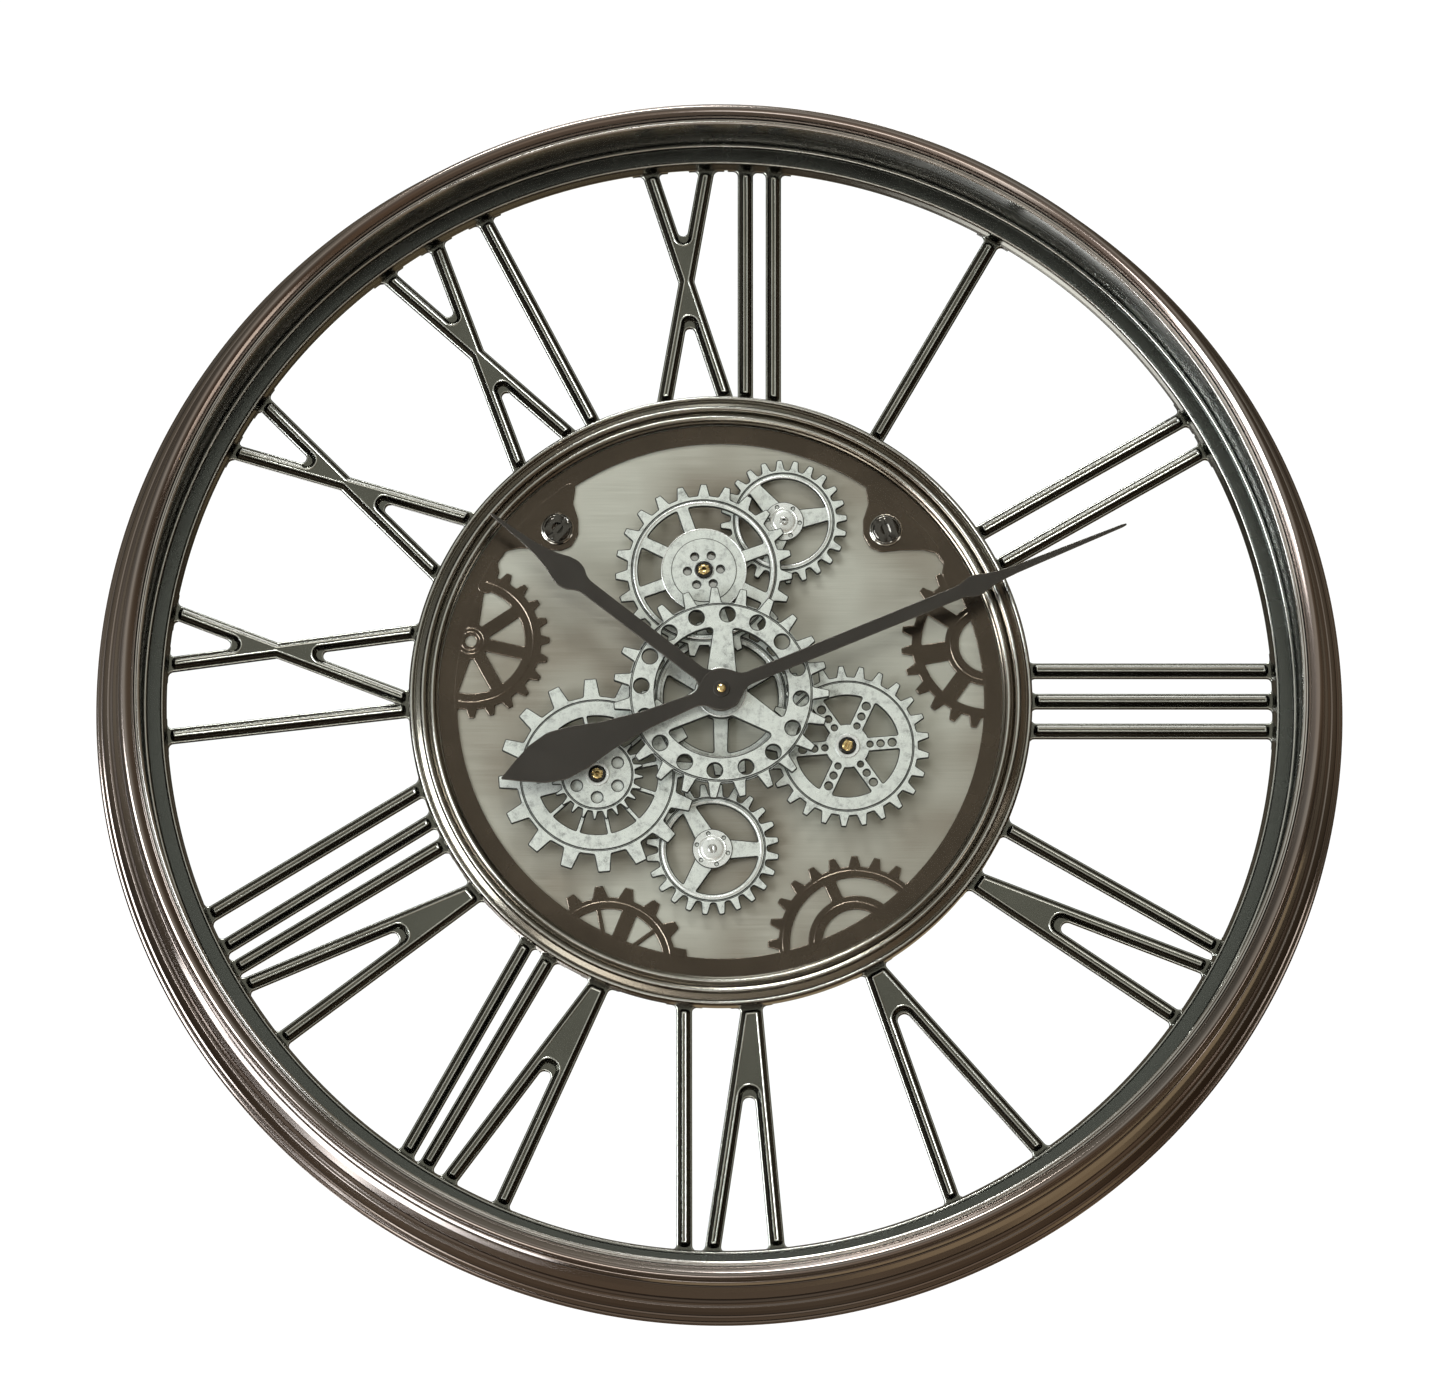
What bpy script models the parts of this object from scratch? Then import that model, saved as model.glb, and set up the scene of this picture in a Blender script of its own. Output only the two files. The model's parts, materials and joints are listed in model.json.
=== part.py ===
"""Open-skeleton wall clock with roman numerals and a turning gear train.

Metres, +Z up, the dial faces -Y and the wall plane is y = 0.  Flat parts are
described by their depth from the wall, so a point at depth d sits at y = -d.
Clock angles run clockwise from twelve, as seen from the front.
"""
import math

import bmesh
import bpy
from mathutils import Matrix, Vector

MM = 0.001
WELD = 0.00001
RING_STEPS = 48
PLATE_STEPS = 36
HUB_STEPS = 12
HOLE_STEPS = 6
GAP = 0.3 * MM

# Outer rings, radius and depth from the wall
GLASS_R = 370.8 * MM
GLASS_BACK = 75.5 * MM
GLASS_FRONT = 78.4 * MM
FLANGE_IN_R = 354 * MM
BEZEL_OUT_R = 199.4 * MM
RING_PLANE = 21.9 * MM

# Numerals
NUMERAL_BACK = 19 * MM
NUMERAL_EDGE = 24.6 * MM
NUMERAL_RIB = 27 * MM
STROKE_HALF = 5 * MM
RIB_HALF = 1.2 * MM
TAB_FRONT = 21.6 * MM

# Centre plates
DIAL_BACK = 25.3 * MM
DIAL_FRONT = 27 * MM
OVERLAY_BACK = 27.3 * MM
OVERLAY_FRONT = 28.6 * MM
OVERLAY_IN_R = 168.5 * MM
OVERLAY_OUT_R = 180.5 * MM
TRAIN_PLATE = (16.5 * MM, 18 * MM)
COVER_FRONT = 1.5 * MM

# Gear train behind the dial plate
MODULE = 3 * MM
TRAIN_BACK = 21 * MM
TRAIN_FRONT = 24.5 * MM
ADDENDUM = 0.75
DEDENDUM = 1.1
DRIVE_TEETH = 40
MOTOR_TEETH = 10
MOTOR_CLOCK = 300

# Layers in front of the dial plate
REAR_LAYER = (31 * MM, 34 * MM)
MIDDLE_LAYER = (37 * MM, 40 * MM)
PINION_LAYER = (40.3 * MM, 43 * MM)
CENTRE_LAYER = (45 * MM, 49 * MM)
HOUR_LAYER = (52.6 * MM, 54 * MM)
MINUTE_LAYER = (57 * MM, 58.4 * MM)

# Centre stack
BUSH_R = 5 * MM
BUSH_BORE = 3.8 * MM
HOUR_TUBE_R = 3.6 * MM
HOUR_TUBE_BORE = 2.3 * MM
MINUTE_SHAFT_R = 2.0 * MM
SLEEVE_BORE = 5.3 * MM
SLEEVE_R = 8 * MM
ARBOR_R = 2.6 * MM
GAP_R = 0.3 * MM

# Wall fittings
HANGER_UP = 384 * MM
KEYHOLE_R = 4.6 * MM
KEYHOLE_NECK = 4.8 * MM

# Hands
MINUTE_CLOCK = 67.2
HOUR_CLOCK = 308
HAND_HUB_R = 13.8 * MM

FINISHES = {
    "rim_bronze": ((0.36, 0.31, 0.27), 0.34, 0.9),
    "liner_dark": ((0.13, 0.13, 0.12), 0.45, 0.7),
    "pewter": ((0.30, 0.29, 0.27), 0.36, 0.9),
    "dial_champagne": ((0.52, 0.50, 0.44), 0.42, 0.85),
    "overlay_bronze": ((0.18, 0.15, 0.13), 0.45, 0.8),
    "gear_silver": ((0.62, 0.64, 0.61), 0.38, 0.9),
    "hand_black": ((0.07, 0.06, 0.055), 0.5, 0.3),
    "brass_screw": ((0.72, 0.56, 0.30), 0.3, 1.0),
    "steel_arbor": ((0.55, 0.55, 0.55), 0.35, 1.0),
    "glass_clear": ((0.92, 0.95, 0.95), 0.05, 0.0),
    "black_plastic": ((0.03, 0.03, 0.03), 0.5, 0.0),
    "white_plastic": ((0.82, 0.81, 0.76), 0.5, 0.0),
    "cover_black": ((0.05, 0.05, 0.05), 0.6, 0.4),
    "steel_plate": ((0.48, 0.48, 0.47), 0.4, 1.0),
    "rubber_black": ((0.04, 0.04, 0.04), 0.85, 0.0),
    "battery_wrap": ((0.10, 0.14, 0.22), 0.4, 0.3),
}


def clear_scene():
    """Remove every object so the file starts empty."""
    for obj in list(bpy.data.objects):
        bpy.data.objects.remove(obj, do_unlink=True)


def collection(name):
    """Make a collection in the scene."""
    group = bpy.data.collections.new(name)
    bpy.context.scene.collection.children.link(group)
    return group


clear_scene()
CLOCK = collection("skeleton_wall_clock")
CUTTERS = collection("cutters")
CUTTERS.hide_render = True


def finish(slot):
    """Return the named material, making it on first use."""
    known = bpy.data.materials.get(slot)
    if known:
        return known
    colour, roughness, metallic = FINISHES[slot]
    mat = bpy.data.materials.new(slot)
    mat.use_nodes = True
    shader = mat.node_tree.nodes["Principled BSDF"]
    shader.inputs["Base Color"].default_value = (*colour, 1.0)
    shader.inputs["Roughness"].default_value = roughness
    shader.inputs["Metallic"].default_value = metallic
    mat.diffuse_color = (*colour, 1.0)
    return mat


def place(name, data, slot, centre=(0.0, 0.0), depth=0.0):
    """Put data in the clock with its local +Z pointing out of the dial."""
    obj = bpy.data.objects.new(name, data)
    obj.location = (centre[0], -depth, centre[1])
    obj.rotation_euler = (math.radians(90), 0, 0)
    data.materials.append(finish(slot))
    CLOCK.objects.link(obj)
    return obj


def polar(radius, clock):
    """Point at a clock angle in degrees."""
    angle = math.radians(clock)
    return (radius * math.sin(angle), radius * math.cos(angle))


def turned(name, profile, slot, steps=RING_STEPS, centre=(0.0, 0.0)):
    """Turn a closed profile of radius and depth about the clock's axis."""
    mesh = bpy.data.meshes.new(name)
    verts = [(radius, 0.0, depth) for radius, depth in profile]
    count = len(verts)
    on_axis = profile[0][0] == 0 and profile[-1][0] == 0
    last = count - 1 if on_axis else count
    edges = [(k, (k + 1) % count) for k in range(last)]
    mesh.from_pydata(verts, edges, [])
    obj = place(name, mesh, slot, centre)
    screw = obj.modifiers.new("turn", "SCREW")
    screw.angle = math.radians(360)
    screw.steps = steps
    screw.render_steps = steps
    screw.use_merge_vertices = True
    screw.merge_threshold = 0.00001
    screw.use_smooth_shade = False
    return obj


def tube(name, outer, inner, back, front, slot, steps=HUB_STEPS, centre=(0.0, 0.0)):
    """Straight tube between two depths."""
    profile = [(outer, front), (outer, back), (inner, back), (inner, front)]
    return turned(name, profile, slot, steps, centre)


def plate(name, loops, layer, slot, centre=(0.0, 0.0)):
    """Flat plate with holes, from a list of closed outlines."""
    back, front = layer
    curve = bpy.data.curves.new(name, "CURVE")
    curve.dimensions = "2D"
    curve.fill_mode = "BOTH"
    curve.extrude = (front - back) / 2
    for loop in loops:
        spline = curve.splines.new("POLY")
        spline.points.add(len(loop) - 1)
        for point, (x, z) in zip(spline.points, loop):
            point.co = (x, z, 0.0, 1.0)
        spline.use_cyclic_u = True
    return place(name, curve, slot, centre, (front + back) / 2)


def as_solid(obj):
    """Swap a curve or a modified mesh for one welded plain mesh."""
    bpy.context.view_layer.update()
    evaluated = obj.evaluated_get(bpy.context.evaluated_depsgraph_get())
    mesh = bpy.data.meshes.new_from_object(evaluated)
    work = bmesh.new()
    work.from_mesh(mesh)
    bmesh.ops.remove_doubles(work, verts=work.verts, dist=WELD)
    bmesh.ops.recalc_face_normals(work, faces=work.faces)
    work.to_mesh(mesh)
    work.free()
    name = obj.name
    obj.name = name + "_source"
    solid = bpy.data.objects.new(name, mesh)
    solid.matrix_world = obj.matrix_world.copy()
    CLOCK.objects.link(solid)
    bpy.data.objects.remove(obj, do_unlink=True)
    return solid


def combine(target, operand, operation):
    """Add a live boolean and move the operand to the cutters."""
    for group in list(operand.users_collection):
        group.objects.unlink(operand)
    CUTTERS.objects.link(operand)
    operand.display_type = "WIRE"
    operand.hide_render = True
    step = target.modifiers.new(operand.name, "BOOLEAN")
    step.operation = operation
    step.solver = "EXACT"
    step.object = operand


def circle(radius, steps=HUB_STEPS, centre=(0.0, 0.0), clock=0.0):
    """Closed round outline."""
    points = []
    for k in range(steps):
        x, z = polar(radius, clock + 360.0 * k / steps)
        points.append((centre[0] + x, centre[1] + z))
    return points


def rectangle(centre, width, height):
    """Closed rectangular outline."""
    x, z = centre
    w = width / 2
    h = height / 2
    return [(x - w, z - h), (x - w, z + h), (x + w, z + h), (x + w, z - h)]


def toothed(teeth, tip, root, first, tip_share=0.13, root_share=0.31):
    """Outline of a gear with straight-sided teeth, one tooth centred on first."""
    pitch = 360.0 / teeth
    corners = ((root, -root_share), (tip, -tip_share), (tip, tip_share), (root, root_share))
    points = []
    for k in range(teeth):
        for radius, share in corners:
            points.append(polar(radius, first + pitch * (k + share)))
    return points


def side_turn(radius, half):
    """Angle from a spoke's line to its side, at one radius."""
    return math.degrees(math.asin(half / radius))


def window(inner, outer, start, stop, steps=5):
    """Opening between two spokes, each given as angle, hub half width, rim half width."""
    rim_from = start[0] + side_turn(outer, start[2])
    rim_to = stop[0] - side_turn(outer, stop[2])
    hub_from = start[0] + side_turn(inner, start[1])
    hub_to = stop[0] - side_turn(inner, stop[1])
    hub_steps = max(1, steps // 2)
    points = [polar(outer, rim_from + (rim_to - rim_from) * k / steps) for k in range(steps + 1)]
    points += [polar(inner, hub_to + (hub_from - hub_to) * k / hub_steps) for k in range(hub_steps + 1)]
    return points


def wheel_windows(inner, outer, spokes, steps):
    """Every opening of a gear, from its spokes listed clockwise."""
    loops = []
    for k, start in enumerate(spokes):
        clock, at_hub, at_rim = spokes[(k + 1) % len(spokes)]
        if clock <= start[0]:
            clock += 360
        loops.append(window(inner, outer, start, (clock, at_hub, at_rim), steps))
    return loops


def spoke_windows(inner, outer, clocks, halves, steps=5):
    """Every opening between a gear's like spokes, listed clockwise."""
    return wheel_windows(inner, outer, [(clock, *halves) for clock in clocks], steps)


def ring_of_holes(count, ring, radius, first, steps=HOLE_STEPS):
    """Round holes spread evenly on a circle."""
    return [circle(radius, steps, polar(ring, first + 360.0 * k / count)) for k in range(count)]


# ---------------------------------------------------------------- rim and glass
def build_rim():
    """Deep stepped rim, its dark liner, the glass and the ring that holds it."""
    rim = [
        (375.2, 86.0), (378.2, 83.2), (379.4, 78.5), (388.8, 37.0), (394.8, 27.0),
        (400.0, 13.0), (396.0, 3.0), (394.4, 3.0), (398.2, 13.0), (387.2, 36.0),
        (377.9, 77.6), (375.2, 84.2), (372.6, 81.4), (372.4, 74.0), (371.2, 74.0),
        (371.2, 81.8),
    ]
    turned("outer_rim", [(r * MM, d * MM) for r, d in rim], "rim_bronze")
    liner = [
        (370.8, 75.2), (370.4, 30.4), (357.6, 30.4), (357.6, 32.0), (369.2, 32.4),
        (368.9, 75.2),
    ]
    turned("rim_liner", [(r * MM, d * MM) for r, d in liner], "liner_dark")
    turned(
        "front_glass",
        [(0, GLASS_FRONT), (GLASS_R, GLASS_FRONT), (GLASS_R, GLASS_BACK), (0, GLASS_BACK)],
        "glass_clear",
    )
    keeper = [(370.8, 80.4), (370.8, 78.7), (367.4, 78.7), (368.9, 80.8)]
    turned("glass_retaining_ring", [(r * MM, d * MM) for r, d in keeper], "rim_bronze")
    flange = [
        (356.4, 32.8), (357.3, 30.2), (362.0, 24.8), (392.0, 24.8), (392.0, 22.0),
        (354.0, 22.0), (354.0, 25.0),
    ]
    turned("numeral_flange", [(r * MM, d * MM) for r, d in flange], "pewter")


# ---------------------------------------------------------------- numerals
# Each stroke is (offset at the bezel, offset at the flange) in mm, clockwise.
NUMERALS = (
    ("numeral_01", 30, ((0, 0),)),
    ("numeral_02", 60, ((-13, -13), (12, 12))),
    ("numeral_03", 90, ((-20.5, -21), (-0.5, -1), (19, 18.5))),
    ("numeral_04", 120, ((-19.5, -20), (18.6, -6), (21.4, 33))),
    ("numeral_05", 150, ((1, -31), (4, 35))),
    ("numeral_06", 180, ((-21.4, -36), (-18.4, 5.5), (23, 22.7))),
    ("numeral_07", 210, ((-27.3, -43.7), (-24.3, -6), (10.6, 10.4), (27.4, 24.9))),
    ("numeral_08", 240, ((-31.8, -52.5), (-28.6, -9.8), (6.6, 2.4), (23.8, 17.8), (45.2, 40.6))),
    ("numeral_09", 270, ((-6, -24.8), (-1, 59.8), (44.5, 22.2))),
    ("numeral_10", 300, ((-19.8, 23), (23.1, -16))),
    ("numeral_11", 330, ((-35.5, -8.4), (4.5, -48), (20.3, 26.8))),
    ("numeral_12", 0, ((-36.2, -8.6), (4.4, -47.5), (16.1, 16.2), (34.2, 34.5))),
)
# Place of a V's first bar in its numeral
V_FIRST = {"numeral_04": 1, "numeral_05": 0, "numeral_06": 0, "numeral_07": 0, "numeral_08": 0}
STROKE_IN = 197 * MM
STROKE_OUT = 356.5 * MM
V_WEB_GAP = 15.6 * MM
V_WEB_LAP = 4 * MM


def local_point(clock, along, aside):
    """Point given by its distance out along a clock angle and clockwise offset."""
    ox, oz = polar(along, clock)
    ax, az = polar(aside, clock + 90)
    return (ox + ax, oz + az)


def stroke(name, start, stop):
    """Straight numeral bar with a raised rib, between two points of the dial."""
    section = [
        (-STROKE_HALF, NUMERAL_BACK), (STROKE_HALF, NUMERAL_BACK), (STROKE_HALF, NUMERAL_EDGE),
        (RIB_HALF, NUMERAL_RIB), (-RIB_HALF, NUMERAL_RIB), (-STROKE_HALF, NUMERAL_EDGE),
    ]
    run = Vector((stop[0] - start[0], 0, stop[1] - start[1]))
    middle = Vector((start[0] + stop[0], 0, start[1] + stop[1])) / 2
    bar = plate(name, [section], (-run.length / 2, run.length / 2), "pewter")
    along = run.normalized()
    outward = Vector((0, -1, 0))
    across = outward.cross(along)
    turn = Matrix((across, outward, along)).transposed()
    bar.matrix_world = Matrix.Translation(middle) @ turn.to_4x4()
    return as_solid(bar)


def web_loop(clock, first, second):
    """Three-cornered web that closes the point of a V, up to where its bars part."""
    narrow = (second[0] - first[0]) * MM
    wide = (second[1] - first[1]) * MM
    share = (V_WEB_GAP - narrow) / (wide - narrow)
    out = STROKE_IN + (STROKE_OUT - STROKE_IN) * share
    left = (first[0] + (first[1] - first[0]) * share) * MM
    right = (second[0] + (second[1] - second[0]) * share) * MM
    apex = (first[0] + second[0]) / 2 * MM
    return [
        local_point(clock, STROKE_IN + V_WEB_LAP, apex),
        local_point(clock, out, left),
        local_point(clock, out, right),
    ]


def arc_tab(name, inner, outer, span, steps=3):
    """Curved foot that lies behind a ring and ties a numeral's bars together."""
    start, stop = span
    turns = [start + (stop - start) * k / steps for k in range(steps + 1)]
    loop = [polar(outer, clock) for clock in turns]
    loop += [polar(inner, clock) for clock in reversed(turns)]
    tab = plate(name, [loop], (NUMERAL_BACK + 0.4 * MM, TAB_FRONT), "pewter")
    return as_solid(tab)


def build_numerals():
    """Twelve separate numerals, each one casting with a foot behind each ring."""
    cut_in = as_solid(plate("bezel_clearance", [circle(BEZEL_OUT_R + 0.4 * MM, RING_STEPS)],
                            (RING_PLANE, 40 * MM), "pewter"))
    cut_out = as_solid(tube("flange_clearance", 380 * MM, FLANGE_IN_R - 0.4 * MM,
                            RING_PLANE, 40 * MM, "pewter", RING_STEPS))
    for name, clock, bars in NUMERALS:
        solids = []
        for k, (inside, outside) in enumerate(bars):
            start = local_point(clock, STROKE_IN, inside * MM)
            stop = local_point(clock, STROKE_OUT, outside * MM)
            solids.append(stroke(f"{name}_bar_{k}", start, stop))
        body = solids[0]
        body.name = name
        for extra in solids[1:]:
            combine(body, extra, "UNION")
        if name in V_FIRST:
            place_in_list = V_FIRST[name]
            web = web_loop(clock, bars[place_in_list], bars[place_in_list + 1])
            fill = plate(f"{name}_web", [web], (NUMERAL_BACK + 0.6 * MM, NUMERAL_EDGE), "pewter")
            combine(body, as_solid(fill), "UNION")
        inner_turns = [math.degrees(math.atan2(inside * MM, STROKE_IN)) for inside, _ in bars]
        outer_turns = [math.degrees(math.atan2(outside * MM, STROKE_OUT)) for _, outside in bars]
        inner_span = (clock + min(inner_turns) - 2.2, clock + max(inner_turns) + 2.2)
        outer_span = (clock + min(outer_turns) - 1.4, clock + max(outer_turns) + 1.4)
        combine(body, arc_tab(f"{name}_inner_foot", 190 * MM, 198.8 * MM, inner_span), "UNION")
        combine(body, arc_tab(f"{name}_outer_foot", 355 * MM, 366 * MM, outer_span), "UNION")
        for cutter in (cut_in, cut_out):
            combine(body, cutter, "DIFFERENCE")


# ---------------------------------------------------------------- centre case
def build_case():
    """Bezel, pan, back cover, dial plate and the train plate behind it."""
    bezel = [
        (190.4, 37.0), (195.4, 32.0), (197.6, 34.4), (199.4, 31.0), (199.4, 22.0),
        (189.0, 22.0), (189.0, 27.4), (181.0, 27.4), (181.0, 34.6), (184.0, 36.4),
        (186.2, 33.4),
    ]
    turned("bezel", [(r * MM, d * MM) for r, d in bezel], "pewter")
    pan = [
        (188.0, 24.9), (188.0, 2.0), (150.0, 2.0), (150.0, 3.2), (186.4, 3.2),
        (186.4, 24.9),
    ]
    turned("housing_pan", [(r * MM, d * MM) for r, d in pan], "cover_black")
    cover_loops = [
        circle(168 * MM, PLATE_STEPS),
        rectangle((0, -19 * MM), 54 * MM, 17 * MM),
        rectangle((-66 * MM, 52 * MM), 58 * MM, 17 * MM),
        rectangle((-80 * MM, 24 * MM), 16 * MM, 8 * MM),
        circle(7.6 * MM, HUB_STEPS, (0, 16 * MM)),
    ]
    plate("back_cover", cover_loops, (0, COVER_FRONT), "cover_black")


def arbor_clearance(places, radius):
    """Round holes for every arbor."""
    return [circle(radius, 8, centre) for centre in places]


# Train centres, teeth of the hidden wheel and clock angles
UPPER = polar(82.5 * MM, 352.4)
RIGHT = polar(87 * MM, 112.2)
LOWER_LEFT = polar(94.5 * MM, 236.4)
LOWER = polar(99 * MM, 183.1)
UPPER_TEETH = 15
RIGHT_TEETH = 18
LOWER_LEFT_TEETH = 23
LOWER_TEETH = 26
UPPER_RIGHT_TEETH = 26
UPPER_RIGHT_CLOCK = 56.7
UPPER_RIGHT_STEP = polar((UPPER_TEETH + UPPER_RIGHT_TEETH) * MODULE / 2, UPPER_RIGHT_CLOCK)
UPPER_RIGHT = (UPPER[0] + UPPER_RIGHT_STEP[0], UPPER[1] + UPPER_RIGHT_STEP[1])
MOTOR = polar((DRIVE_TEETH + MOTOR_TEETH) * MODULE / 2, MOTOR_CLOCK)
ARBORS = (UPPER, UPPER_RIGHT, RIGHT, LOWER_LEFT, LOWER)
DRIVE_PHASE = 0.0


def mesh_phase(phase, teeth, clock, mate_teeth):
    """Tooth angle of a mate so that its gap faces the driver's tooth."""
    share = ((clock - phase) * teeth / 360.0) % 1.0
    return clock + 180 + (share + 0.5) * 360.0 / mate_teeth


def clock_of(centre):
    """Clock angle of a point about the clock's axis."""
    return math.degrees(math.atan2(centre[0], centre[1]))


def hidden_wheel(name, teeth, phase, bore, slot, centre=(0.0, 0.0), windows=()):
    """Wheel of the hidden train."""
    radius = teeth * MODULE / 2
    tip = radius + ADDENDUM * MODULE
    root = radius - DEDENDUM * MODULE
    loops = [toothed(teeth, tip, root, phase, 0.12, 0.29)]
    if bore:
        loops.append(circle(bore, HUB_STEPS))
    loops.extend(windows)
    return plate(name, loops, (TRAIN_BACK, TRAIN_FRONT), slot, centre)


def build_plates():
    """Dial plate and train plate with holes for the arbors."""
    dial = [circle(186.6 * MM, RING_STEPS), circle(SLEEVE_R + 1 * MM, HUB_STEPS)]
    dial += arbor_clearance(ARBORS, ARBOR_R + 0.3 * MM)
    plate("dial_plate", dial, (DIAL_BACK, DIAL_FRONT), "dial_champagne")
    train = [circle(150 * MM, PLATE_STEPS), circle(BUSH_R + GAP_R, HUB_STEPS)]
    train += arbor_clearance(ARBORS, ARBOR_R + 0.3 * MM)
    train.append(circle(3 * MM, 10, MOTOR))
    plate("train_plate", train, TRAIN_PLATE, "steel_plate")


# ---------------------------------------------------------------- overlay plate
# Part gears of the overlay, lengths in mm.  A spoke is its clock angle and half width.
RELIEF = (
    {"name": "left", "centre": (-160.0, 37.4), "teeth": 24, "first": 14, "tip": 50.5, "root": 45,
     "hub": 12, "bore": 34.5, "spokes": ((8, 3.6), (56, 4.2), (103, 4.2), (151, 4.2), (199, 3.6)),
     "eye": 3.6},
    {"name": "right", "centre": (171.2, 36.7), "teeth": 24, "first": 10, "tip": 55.6, "root": 48.8,
     "hub": 27.5, "bore": 42.5, "spokes": ((171, 5.5), (216, 5.5), (260, 6.5), (303, 5), (348, 5)),
     "eye": 18.6},
    {"name": "lower_left", "centre": (-71.0, -171.6), "teeth": 16, "first": 352.5, "tip": 50,
     "root": 42.7, "hub": 14, "bore": 34.8,
     "spokes": ((317, 1.4), (349, 1.4), (382, 4.8), (414, 1.4), (446, 1.4)), "eye": 3.6},
    {"name": "lower_right", "centre": (86.0, -158.0), "teeth": 24, "first": 359, "tip": 56.2,
     "root": 49.4, "hub": 30.5, "bore": 42, "spokes": ((246.6, 3.8), (336.6, 3.8), (426.6, 3.8)),
     "eye": 21.5},
)
OVERLAY_SCREWS = (("overlay_screw_left", -105.0, 50), ("overlay_screw_right", 106.2, -60))
OVERLAY_SCREW_UP = 111.3
# Edge of the lobe round the right-hand screw, from the ring and back to it, in mm
LOBE = (
    (94.6, 142.0), (93.6, 138.0), (95.0, 128.6), (91.6, 118.0), (91.6, 108.0), (96.0, 100.0),
    (103.0, 97.0), (116.0, 98.4), (130.0, 98.6), (139.0, 96.4), (143.4, 90.0), (142.0, 83.0),
    (147.0, 68.0),
)
LOBE_BACK = (66, 58, 50, 42, 35)


def lobe_loop(side):
    """Outline of a screw lobe, side +1 for the right and -1 for the left."""
    loop = [(side * x * MM, z * MM) for x, z in LOBE]
    loop += [polar(173 * MM, side * clock) for clock in LOBE_BACK]
    return loop


def build_overlay():
    """Dark plate round the dial with four part gears and two screw lobes."""
    body = as_solid(tube("overlay_plate", OVERLAY_OUT_R, OVERLAY_IN_R, OVERLAY_BACK,
                         OVERLAY_FRONT, "overlay_bronze", RING_STEPS))
    limit = as_solid(plate("overlay_limit", [circle(174 * MM, RING_STEPS)],
                           (20 * MM, 40 * MM), "overlay_bronze"))
    relief_layer = (OVERLAY_BACK + 0.1 * MM, OVERLAY_FRONT + 0.5 * MM)
    for gear in RELIEF:
        loops = [toothed(gear["teeth"], gear["tip"] * MM, gear["root"] * MM, gear["first"])]
        spokes = [(clock, half * MM, half * MM) for clock, half in gear["spokes"]]
        for start, stop in zip(spokes, spokes[1:]):
            loops.append(window(gear["hub"] * MM, gear["bore"] * MM, start, stop, 3))
        loops.append(circle(gear["eye"] * MM, HUB_STEPS))
        centre = (gear["centre"][0] * MM, gear["centre"][1] * MM)
        part = as_solid(plate("relief_" + gear["name"], loops, relief_layer, "overlay_bronze", centre))
        combine(part, limit, "INTERSECT")
        combine(body, part, "UNION")
    for name, side in (("lobe_left", -1), ("lobe_right", 1)):
        lobe_layer = (OVERLAY_BACK + 0.2 * MM, OVERLAY_FRONT + 0.4 * MM)
        lobe = plate(name, [lobe_loop(side)], lobe_layer, "overlay_bronze")
        combine(body, as_solid(lobe), "UNION")


def slotted_screw(name, radius, base, height, slot_clock, slot, centre, steps=10):
    """Low domed screw head with a straight slot."""
    profile = [(0, base + height), (0.62 * radius, base + 0.86 * height), (radius, base + 0.35 * height),
               (radius, base), (0, base)]
    head = as_solid(turned(name, profile, slot, steps, centre))
    groove = bmesh.new()
    bmesh.ops.create_cube(groove, size=1.0)
    scale = Matrix.Diagonal((2.4 * radius, 0.22 * radius, 0.6 * height, 1.0))
    groove.transform(Matrix.Rotation(math.radians(90 - slot_clock), 4, "Z") @ scale)
    mesh = bpy.data.meshes.new(name + "_slot")
    groove.to_mesh(mesh)
    groove.free()
    cutter = place(name + "_slot", mesh, slot, centre, base + height)
    combine(head, cutter, "DIFFERENCE")
    return head


# ---------------------------------------------------------------- gears
def arbor(name, centre, teeth, phase, flange_r, flange_layer):
    """Arbor with its hidden pinion, a shaft and the flange that carries a gear."""
    wheel = as_solid(hidden_wheel(name, teeth, phase, 0, "steel_arbor", centre))
    back = TRAIN_PLATE[0] - 2 * MM
    profile = [
        (0, flange_layer[1]), (flange_r, flange_layer[1]), (flange_r, flange_layer[0]),
        (ARBOR_R, flange_layer[0]), (ARBOR_R, back), (0, back),
    ]
    shaft = as_solid(turned(name + "_shaft", profile, "steel_arbor", 8, centre))
    combine(wheel, shaft, "UNION")
    return wheel


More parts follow.
